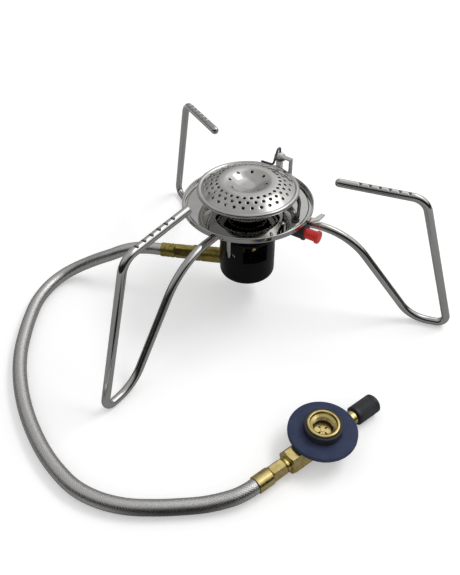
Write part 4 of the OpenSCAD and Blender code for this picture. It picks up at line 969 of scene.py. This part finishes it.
inlet = turned("inlet_tube_turned", [
    (0, 6.6), (5.25, 6.6), (5.25, 30.2, 0.15), (4.95, 30.5, 0.1), (4.95, 31.3, 0.1), (5.25, 31.6, 0.15),
    (5.25, NUT_START, 0.5), (0, NUT_START)], on_inlet(), sides=72)
finished(inlet, "dull_brass", "burner", "inlet_tube")


def ferrule_points(inner_end, outer_end, crimped):
    """The cup over the hose's end. The hose goes in at outer_end."""
    body = [(0, inner_end), (4.3, inner_end, 0.3), (4.7, inner_end + 0.7, 0.3)]
    mouth = [(4.7, outer_end, 0.25), (4.2, outer_end, 0.15), (4.12, outer_end - 0.6), (0, outer_end - 0.6)]
    waists = []
    if crimped:
        for share in (0.3, 0.6):
            s = inner_end + (outer_end - inner_end) * share
            waists += [(4.7, s, 0.2), (4.48, s + 0.25, 0.2), (4.48, s + 0.95, 0.2), (4.7, s + 1.2, 0.2)]
    return body + waists + mouth


nut = hexagon_bar("burner_nut_faced", 8.3, NUT_START, FERRULE_START, on_inlet())
finished(nut, "dull_brass", "burner", "burner_hose_nut")
crimped_cup = ferrule_points(FERRULE_START, FERRULE_END, True)
ferrule = turned("burner_ferrule_crimped", crimped_cup, on_inlet(), sides=72)
finished(ferrule, "dull_brass", "burner", "burner_ferrule")
corners = [len(piece.data.vertices) for piece in (jet_block, inlet, ferrule)]
print("corners of block, inlet and ferrule:", corners)

# %% [markdown]
# ## Valve end of the hose
# The far ferrule is plain, and its hexagon carries a thin turned collar against the valve. The
# valve itself is a length of 12 mm hexagon bar with its ends chamfered on the lathe. The gland
# nut closes its end round the spindle.

# %% Valve
HEX_START, HEX_END, BAR_START, BAR_END, GLAND_END = 9.7, 18.1, 20.7, 60.1, 69.2      # along the valve
facing_the_hose = on_valve(HEX_START) @ Matrix.Rotation(math.pi, 4, "X")
valve_ferrule = turned("valve_ferrule_turned", ferrule_points(0, HEX_START, False), facing_the_hose, sides=72)
finished(valve_ferrule, "bright_brass", "burner", "valve_ferrule")

collar = turned("collar", [
    (0, 17.6), (3.2, 17.6), (3.2, 18.7), (4.1, 18.7, 0.2), (4.1, BAR_START, 0.2), (0, BAR_START)],
    on_valve(), sides=72)
valve_nut = hexagon_bar("valve_nut_faced", 8, HEX_START, HEX_END, on_valve())
valve_nut = combined(valve_nut, collar, "UNION", crisp=32)
finished(valve_nut, "bright_brass", "burner", "valve_hose_nut")

valve_bar = hexagon_bar("valve_bar_faced", 12, BAR_START, BAR_END, on_valve(), chamfer=1.6)
finished(valve_bar, "bright_brass", "burner", "valve_body")

gland = turned("gland_turned", [
    (2.55, BAR_END), (4, BAR_END), (4, 61.4), (3.8, 61.6), (3.8, 62.1), (4, 62.3), (4, GLAND_END, 0.5),
    (2.55, GLAND_END, 0.2)], on_valve(), sides=72)
finished(gland, "bright_brass", "burner", "gland_nut")
print("valve bar:", len(valve_bar.data.polygons), "faces,", BAR_END - BAR_START, "mm long")

# %% [markdown]
# ## Knob
# The knob is moulded with twenty-eight round grooves for grip between a plain collar and a rounded
# end. A knurl like this is a change of radius with the angle, so the lathe's ripple makes it:
# each groove is the part of a small circle that reaches below the knob's skin.

# %% Knob
KNOB_R, GROOVES, GROOVE_R = 5.5, 28, 0.4
GROOVE_CENTRE = KNOB_R + GROOVE_R / 4
GROOVES_START, GROOVES_END, GROOVE_FADE = 71.65, 82.95, 0.35


def grip(r, z, angle):
    if r < KNOB_R - 0.8 or not GROOVES_START < z < GROOVES_END:
        return r
    spacing = math.tau / GROOVES
    off = (angle + spacing / 2) % spacing - spacing / 2
    across = GROOVE_CENTRE * math.sin(off)
    if abs(across) >= GROOVE_R:
        return r
    floor = GROOVE_CENTRE * math.cos(off) - math.sqrt(GROOVE_R ** 2 - across ** 2)
    fade = min(1, (z - GROOVES_START) / GROOVE_FADE, (GROOVES_END - z) / GROOVE_FADE)
    return min(r, r + (floor - KNOB_R) * fade) if floor < KNOB_R else r


fade_in, fade_out = np.linspace(71.7, 72.05, 5), np.linspace(82.55, 82.95, 5)
plain_run = np.linspace(73, 82, 7)
knob_side = [(KNOB_R, float(z)) for z in (71.6, *fade_in, *plain_run, *fade_out, 83.0)]
knob = turned("knob_moulded", [
    (0, 69.6), (2.1, 69.5), (5.1, 69.5, 0.15), (KNOB_R, 69.9, 0.2), *knob_side, (KNOB_R, 84.5, 0.5),
    (4.4, 85.5, 0.7), (2.8, 85.5, 0.2), (2.8, 83.5), (0, 83.5)],
    on_valve(), sides=GROOVES * 12, ripple=grip, crisp=50)
finished(knob, "black_plastic", "valve_knob", "valve_knob")
finished(eased("knob_screw", "knob_screw_eased", 0.12), "screw_steel", "valve_knob", "knob_screw")
print("knob:", len(knob.data.vertices), "corners")

# %% [markdown]
# ## Canister socket
# A brass ring with a rounded rim stands in a plastic disc that rests on the canister's shoulder.
# Above the thread its mouth widens, to lead the canister's valve in.
# The thread inside is 28 to the inch, so its groove climbs 0.907 mm in each turn. It is a ripple
# too: the wall moves outwards where the height and the angle together fall in the groove.

# %% Socket
THREAD_R, THREAD_PITCH, THREAD_DEPTH = 5.556, 25.4 / 28, 0.42
SOCKET_BASE, DISC_TOP, THREAD_TOP, SOCKET_TOP = 12.05, 15, 18.35, 20.5
SEAL_Z = 13.2


def thread(r, z, angle):
    low, high = DISC_TOP + 0.02, THREAD_TOP - 0.02
    if abs(r - THREAD_R) > 1e-4 or not low < z < high:
        return r
    phase = (z / THREAD_PITCH - angle / math.tau) % 1
    tooth = min(1, max(0, 1.25 - 2.9 * abs(phase - 0.5)))
    return r + THREAD_DEPTH * tooth * min(1, (z - low) / 0.3, (high - z) / 0.15)


bore = [(THREAD_R, float(z)) for z in np.linspace(THREAD_TOP, DISC_TOP, 46)]
socket = turned("socket_ring_threaded", [
    (4.6, SOCKET_BASE), (8.75, SOCKET_BASE), (8.75, SOCKET_TOP, 0.7), (7.3, SOCKET_TOP, 0.3),
    (7.0, 19.2, 0.4), (THREAD_R, 18.4), *bore, (5.9, DISC_TOP), (5.9, SEAL_Z), (4.6, SEAL_Z)],
    on_canister(), sides=160, ripple=thread, crisp=35)
finished(socket, "bright_brass", "burner", "connector_ring")
print("socket:", len(socket.data.vertices), "corners")

# %% Disc, sleeve, seal and opener
disc = turned("disc_moulded", [
    (8.8, SOCKET_BASE), (17.9, SOCKET_BASE, 0.4), (18.5, 12.6, 0.4), (18.5, DISC_TOP, 0.75), (8.8, DISC_TOP)],
    on_canister(), sides=192, crisp=50)
finished(disc, "disc_plastic", "burner", "connector_disc")

sleeve = turned("sleeve_moulded", [
    (8.8, DISC_TOP), (10.25, DISC_TOP), (10.25, 19.5, 0.5), (8.8, 19.5, 0.15)],
    on_canister(), sides=128, crisp=50)
finished(sleeve, "black_plastic", "burner", "connector_sleeve")

seal = turned("seal_moulded", [
    (4.6, SEAL_Z), (5.86, SEAL_Z), (5.86, 14.4, 0.35), (4.56, 14.4, 0.35)], on_canister(), sides=96, crisp=50)
finished(seal, "black_rubber", "burner", "connector_seal")
finished(eased("valve_opener", "opener_eased", 0.1), "bright_brass", "burner", "valve_opener")
print("disc, sleeve and seal:", [len(piece.data.vertices) for piece in (disc, sleeve, seal)], "corners")

# %% [markdown]
# ## Igniter
# A black plastic barrel holds the crystal, the spring and the glossy red button. A steel strap
# hangs it from the tray, with a wing for a second finger. The button travels in the barrel, so it
# is a piece of its own that rides on the moving body.

# %% Igniter
barrel = turned("barrel_moulded", [
    (0, 23), (4.4, 23, 0.4), (4.4, 39.8), (4.8, 39.8, 0.15), (4.8, 41.3, 0.3), (3.35, 41.3, 0.15),
    (3.35, 24.2), (0, 24.2)], on_igniter(), sides=80, crisp=50)
finished(barrel, "black_plastic", "burner", "igniter_body")

button = turned("button_moulded", [
    (0, 45), (2.65, 45), (2.65, 36.5), (3.25, 36.5, 0.15), (3.25, 48.2), (4, 48.2, 0.3), (4, 50.15, 0.75),
    (2.4, 50.42, 0.6), (0, 50.5)], on_igniter(), sides=80, crisp=50)
finished(button, "red_plastic", "igniter_button", "igniter_button")
bracket = eased("igniter_bracket", "igniter_bracket_eased", 0.16)
finished(bracket, "pressed_steel", "burner", "igniter_bracket")
print("barrel and button:", [len(piece.data.vertices) for piece in (barrel, button)], "corners")

# %% Rivets and grommet
RIVET_RADIUS, RIVET_ASIDE, LEAD_RADIUS = 28.25, 7, 33.6
rivet = filleted([
    (0, 68.6), (0.9, 68.68, 0.5), (1.7, 69.3, 0.1), (1, 69.3), (1, TRAY_TOP), (1.7, TRAY_TOP, 0.1),
    (1.5, 71.05, 0.3), (0.9, 71.34, 0.5), (0, 71.4)], False)
both = repeated(*lathe_grid(rivet, 40, False), [
    turn_z(IGNITER_ANGLE) @ move(RIVET_RADIUS, side, 0) for side in (-RIVET_ASIDE, RIVET_ASIDE)])
rivets = keep_flats(make_piece("rivets_domed", *both, None, 50))
finished(rivets, "screw_steel", "burner", "bracket_rivets")

grommet = turned("grommet_moulded", [
    (1.05, 69.6), (2.5, 69.6, 0.2), (2.5, TRAY_FLOOR, 0.1), (1.85, TRAY_FLOOR), (1.85, TRAY_TOP),
    (2.5, TRAY_TOP, 0.1), (2.5, 71.2, 0.22), (1.05, 71.2, 0.1)],
    IN_MM @ turn_z(IGNITER_ANGLE) @ move(LEAD_RADIUS, 0, 0), sides=48)
finished(grommet, "black_rubber", "burner", "lead_grommet")
print("rivets and grommet:", [len(piece.data.vertices) for piece in (rivets, grommet)], "corners")

# %% [markdown]
# ### Ignition lead
# The lead rises through its grommet, lies round the tray under the bowl and climbs into the
# insulator. It is one smooth sweep through the same points as the solid, so it bends softly where
# the solid has corners.

# %% Lead
CERAMIC = (13.62, 31.12)
CERAMIC_R, CERAMIC_ANGLE = math.hypot(*CERAMIC), math.degrees(math.atan2(CERAMIC[1], CERAMIC[0]))
LEAD_R = 0.99
LYING_Z = TRAY_TOP + 1.05
lead_points = [
    polar(LEAD_RADIUS, IGNITER_ANGLE, 68.9), polar(LEAD_RADIUS, IGNITER_ANGLE, 71.9), polar(33.5, -18, 72.9),
    polar(33.1, -14, 72.7), polar(32.4, -7, LYING_Z + 0.2),
    *[polar(CERAMIC_R - 2.3, a, LYING_Z) for a in range(0, 57, 7)],
    polar(CERAMIC_R - 1.9, 61, LYING_Z + 0.1), (CERAMIC[0] + 0.6, CERAMIC[1] - 0.8, LYING_Z + 0.8),
    (*CERAMIC, 73.4), (*CERAMIC, 74)]
lead = swept("lead_smooth", smooth_route(lead_points, 0.4), LEAD_R)
finished(lead, "lead_sleeve", "burner", "ignition_lead")
print("lead:", len(lead.data.vertices), "corners")

# %% [markdown]
# ## Spark electrode
# A strip of sheet stands on the tray and its arm ends in an eye round a glazed ceramic, which a
# toothed washer holds from below. The rod leaves the ceramic's top, turns over towards the cap
# and bends along its rim, so the spark jumps to the cap. Its three corners are short curves.

# %% Electrode
for node, width in (("electrode_bracket", 0.13), ("electrode_clip", 0.08), ("electrode_rivet", 0.15)):
    finished(eased(node, node + "_eased", width), "screw_steel", "burner", node)
insulator = turned("insulator_glazed", [
    (0, 74), (2.25, 74, 0.35), (2.25, 89.75, 0.55), (1.35, 90.5, 0.4), (0, 90.5)],
    upright_at(*CERAMIC), sides=64, crisp=60)
finished(insulator, "white_ceramic", "burner", "electrode_insulator")
print("insulator:", len(insulator.data.vertices), "corners")

# %% Rod
def soft_cornered(points, reaches):
    """Straight runs joined by short curves, each reaching so far along both of its runs."""
    p = np.array(points, float)
    line = [p[0]]
    for i, reach in enumerate(reaches, 1):
        before = p[i] + unit(p[i - 1] - p[i]) * reach
        after = p[i] + unit(p[i + 1] - p[i]) * reach
        for t in np.linspace(0, 1, 10):
            line.append((1 - t) ** 2 * before + 2 * t * (1 - t) * p[i] + t * t * after)
    return np.array(line + [p[-1]])


ROD_R = 0.7
rod_line = soft_cornered([
    (*CERAMIC, 87.5), (*CERAMIC, 93.7), polar(CERAMIC_R - 2.6, CERAMIC_ANGLE, 94), polar(24, 62, 87),
    polar(24, 82, 87)], (1.3, 1.3, 1.8))
rod = swept("rod_bent", rod_line, ROD_R, crisp=40)
finished(rod, "tinted_steel", "burner", "electrode_rod")
print("rod:", len(rod.data.vertices), "corners")

# %% [markdown]

# %% [markdown]
# ## Stage
# The stove stands on a white sweep under a broad soft lamp. The sweep glows a little more the
# further out it goes, where the lamp no longer reaches it. Bright metal shows what is round it
# more than its own colour, so the room matters: a dome and a sheet that only reflections see
# stand in for it below.

# %% Floor and world
def stage_material(name, build):
    material = bpy.data.materials.new(name)
    material.use_nodes = True
    tree = material.node_tree
    tree.nodes.clear()
    build(tree.nodes, tree.links, tree.nodes.new("ShaderNodeOutputMaterial").inputs["Surface"])
    return material


def seen_directly(nodes, links):
    """1 for rays from the camera, from a mirror or through glass, and 0 for soft light."""
    path = nodes.new("ShaderNodeLightPath").outputs
    seen = path["Is Camera Ray"]
    for ray in ("Is Glossy Ray", "Is Transmission Ray"):
        seen = calculated("ShaderNodeMath", nodes, links, "MAXIMUM", seen, path[ray])
    return seen


def white_floor(nodes, links, surface):
    """White paper that keeps its shadows and glows where it is seen, more so further out."""
    paper = nodes.new("ShaderNodeBsdfDiffuse")
    paper.inputs["Color"].default_value = (0.90, 0.90, 0.90, 1)
    place = nodes.new("ShaderNodeTexCoord").outputs["Object"]
    away = calculated("ShaderNodeVectorMath", nodes, links, "LENGTH", place)
    level = map_range(nodes, links, away, 0.35, 0.85, 0.30, 0.65)
    glow = nodes.new("ShaderNodeEmission")
    lift = calculated("ShaderNodeMath", nodes, links, "MULTIPLY", seen_directly(nodes, links), level)
    links.new(lift, glow.inputs["Strength"])
    both = nodes.new("ShaderNodeAddShader")
    links.new(paper.outputs[0], both.inputs[0])
    links.new(glow.outputs[0], both.inputs[1])
    links.new(both.outputs[0], surface)


def stage_piece(name, corners, faces, material):
    mesh = bpy.data.meshes.new(name)
    mesh.from_pydata(corners, [], faces)
    mesh.materials.append(material)
    piece = bpy.data.objects.new(name, mesh)
    bpy.context.scene.collection.objects.link(piece)
    return piece


def sheet(name, half, z, material):
    corners = [(-half, -half, z), (half, -half, z), (half, half, z), (-half, half, z)]
    return stage_piece(name, corners, [(0, 1, 2, 3)], material)


floor = sheet("floor", 4, -0.0001, stage_material("white_floor", white_floor))

SOFT_LEVEL, SEEN_LEVEL = 0.62, 1.0
world = bpy.data.worlds.new("white_room")
bpy.context.scene.world = world
world.use_nodes = True
sky, wires = world.node_tree.nodes, world.node_tree.links
sky["Background"].inputs["Color"].default_value = (1, 1, 1, 1)
world_level = map_range(sky, wires, seen_directly(sky, wires), 0, 1, SOFT_LEVEL, SEEN_LEVEL)
wires.new(world_level, sky["Background"].inputs["Strength"])
print("world:", SOFT_LEVEL, "as light,", SEEN_LEVEL, "as seen")

# %% Lamp and room
LAMP_AT, LAMP_AIM = Vector((0.569, 0.356, 0.995)), Vector((0, -0.06, 0.04))
soft = bpy.data.lights.new("soft_box", "AREA")
soft.shape, soft.size, soft.size_y, soft.energy = "RECTANGLE", 0.62, 0.30, 4.6
lamp = bpy.data.objects.new("soft_box", soft)
lamp.visible_glossy = False       # its reflection is the soft window painted on the room
bpy.context.scene.collection.objects.link(lamp)
lamp.location = LAMP_AT
lamp.rotation_mode = "QUATERNION"
lamp.rotation_quaternion = (LAMP_AT - LAMP_AIM).to_track_quat("Z", "Y")
print("lamp", round((LAMP_AT - LAMP_AIM).length, 2), "m away")

# %% [markdown]
# ### Room of soft shades
# Every shade of the dome is worked out from its direction: a sky that is bright to the right, a
# dark band where the viewer stands that sinks to either side, one darker cloud to the left and
# the lamp's soft window. Each is an eased step, because a hard edge would show in the metal.

# %% Room shades
VIEWER_AZIMUTH = -78
BRIGHT_AZIMUTH = 40
CLOUD = (155, 37, 6.5)            # azimuth, elevation and reach
WINDOW = (32, 57)                 # azimuth and elevation


def eased_step(x, low, high):
    t = np.clip((x - low) / (high - low), 0, 1)
    return t * t * (3 - 2 * t)


def apart(azimuth, other):
    return (azimuth - other + 180) % 360 - 180


def room_shade(azimuth, elevation):
    """How bright the room is in a direction, with angles in degrees."""
    sky = 0.45 + 0.50 * eased_step(np.cos(np.radians(azimuth - BRIGHT_AZIMUTH)), 0.2, 0.8)
    sky = sky * (0.65 + 0.35 * eased_step(elevation, 18, 38))
    sky = sky + (0.50 - sky) * eased_step(elevation, 66, 84)
    off_viewer = np.abs(apart(azimuth, VIEWER_AZIMUTH))
    aside, behind = eased_step(off_viewer, 42, 84), eased_step(off_viewer, 92, 140)
    dark_top = 46 - 28 * aside - 13 * behind
    softness = 36 - 26 * aside - 6 * behind
    dark = 1 - eased_step(elevation, dark_top - softness / 2, dark_top + softness / 2)
    cloud_turn = apart(azimuth, CLOUD[0]) * np.cos(np.radians(elevation))
    cloud = np.exp(-(np.hypot(cloud_turn, elevation - CLOUD[1]) / CLOUD[2]) ** 2)
    window = 1 - eased_step(np.abs(apart(azimuth, WINDOW[0])), 20, 38)
    window = window * (1 - eased_step(np.abs(elevation - WINDOW[1]), 5, 14))
    return (sky * (1 - 0.45 * cloud)) * (1 - dark) + 0.015 * dark + 1.5 * window


for label, azimuth, elevation in (("behind", 104, 41), ("viewer", -78, 20), ("window", 32, 57)):
    print("room shade,", label, round(float(room_shade(azimuth, elevation)), 2))

# %% Room
def reflections_only(piece):
    piece.visible_camera = piece.visible_diffuse = piece.visible_shadow = piece.visible_transmission = False
    return piece


def room_light(nodes, links, surface):
    glow = nodes.new("ShaderNodeEmission")
    shade = nodes.new("ShaderNodeAttribute")
    shade.attribute_name = "shade"
    links.new(shade.outputs["Fac"], glow.inputs["Strength"])
    links.new(glow.outputs[0], surface)


ROOM_RADIUS = 2.4
TURNS, ROWS = 240, 121
azimuths, elevations = np.meshgrid(np.arange(TURNS) * 360 / TURNS, np.linspace(-3, 89.5, ROWS))
a, e = np.radians(azimuths), np.radians(elevations)
dome = np.stack([np.cos(a) * np.cos(e), np.sin(a) * np.cos(e), np.sin(e)], axis=-1) * ROOM_RADIUS
top = list(range((ROWS - 1) * TURNS, ROWS * TURNS))
shades = stage_material("room_light", room_light)
room = stage_piece("room", dome.reshape(-1, 3).tolist(), tube_faces(ROWS, TURNS) + [top], shades)
reflections_only(room)
store(room.data, "shade", room_shade(azimuths, elevations))
print("room:", len(room.data.polygons), "faces")

# %% [markdown]
# ### Tinted sheet
# The undersides of bright wires mirror the table. Left pure white it would wash them out, so a
# clear grey sheet that only reflections see lies just above it: mid grey under the stove, lighter
# behind it and dark where the viewer leans over.

# %% Tinted sheet
SHADOW_AT = (0.29, -0.03)      # the viewer's dark shape on the table: how far towards them, and aside
SHADOW_REACH = (0.14, 0.07)
NEAR_TINT, FAR_TINT, SHADOW_TINT = 0.27, 0.50, 0.05


def grey_glass(nodes, links, surface):
    turned_to_viewer = nodes.new("ShaderNodeMapping")
    turned_to_viewer.inputs["Rotation"].default_value = (0, 0, math.radians(-VIEWER_AZIMUTH))
    links.new(nodes.new("ShaderNodeTexCoord").outputs["Object"], turned_to_viewer.inputs["Vector"])
    place = turned_to_viewer.outputs["Vector"]
    split = nodes.new("ShaderNodeSeparateXYZ")
    links.new(place, split.inputs[0])
    off_centre = calculated("ShaderNodeVectorMath", nodes, links, "SUBTRACT", place, (*SHADOW_AT, 0))
    scaled = calculated("ShaderNodeVectorMath", nodes, links, "MULTIPLY", off_centre,
                        (1 / SHADOW_REACH[0], 1 / SHADOW_REACH[1], 0))
    reach = calculated("ShaderNodeVectorMath", nodes, links, "LENGTH", scaled)
    tint = map_range(nodes, links, split.outputs["X"], -0.5, -0.15, FAR_TINT, NEAR_TINT, "SMOOTHSTEP")
    shadow = map_range(nodes, links, reach, 0.7, 1.1, SHADOW_TINT, 1.0, "SMOOTHSTEP")
    clear = nodes.new("ShaderNodeBsdfTransparent")
    links.new(calculated("ShaderNodeMath", nodes, links, "MULTIPLY", tint, shadow), clear.inputs["Color"])
    links.new(clear.outputs[0], surface)


tint = reflections_only(sheet("tint", 3, 0.0002, stage_material("grey_glass", grey_glass)))
print("sheet lets through", NEAR_TINT, "near and", FAR_TINT, "behind")

scene = bpy.context.scene
scene.view_settings.view_transform = "Standard"
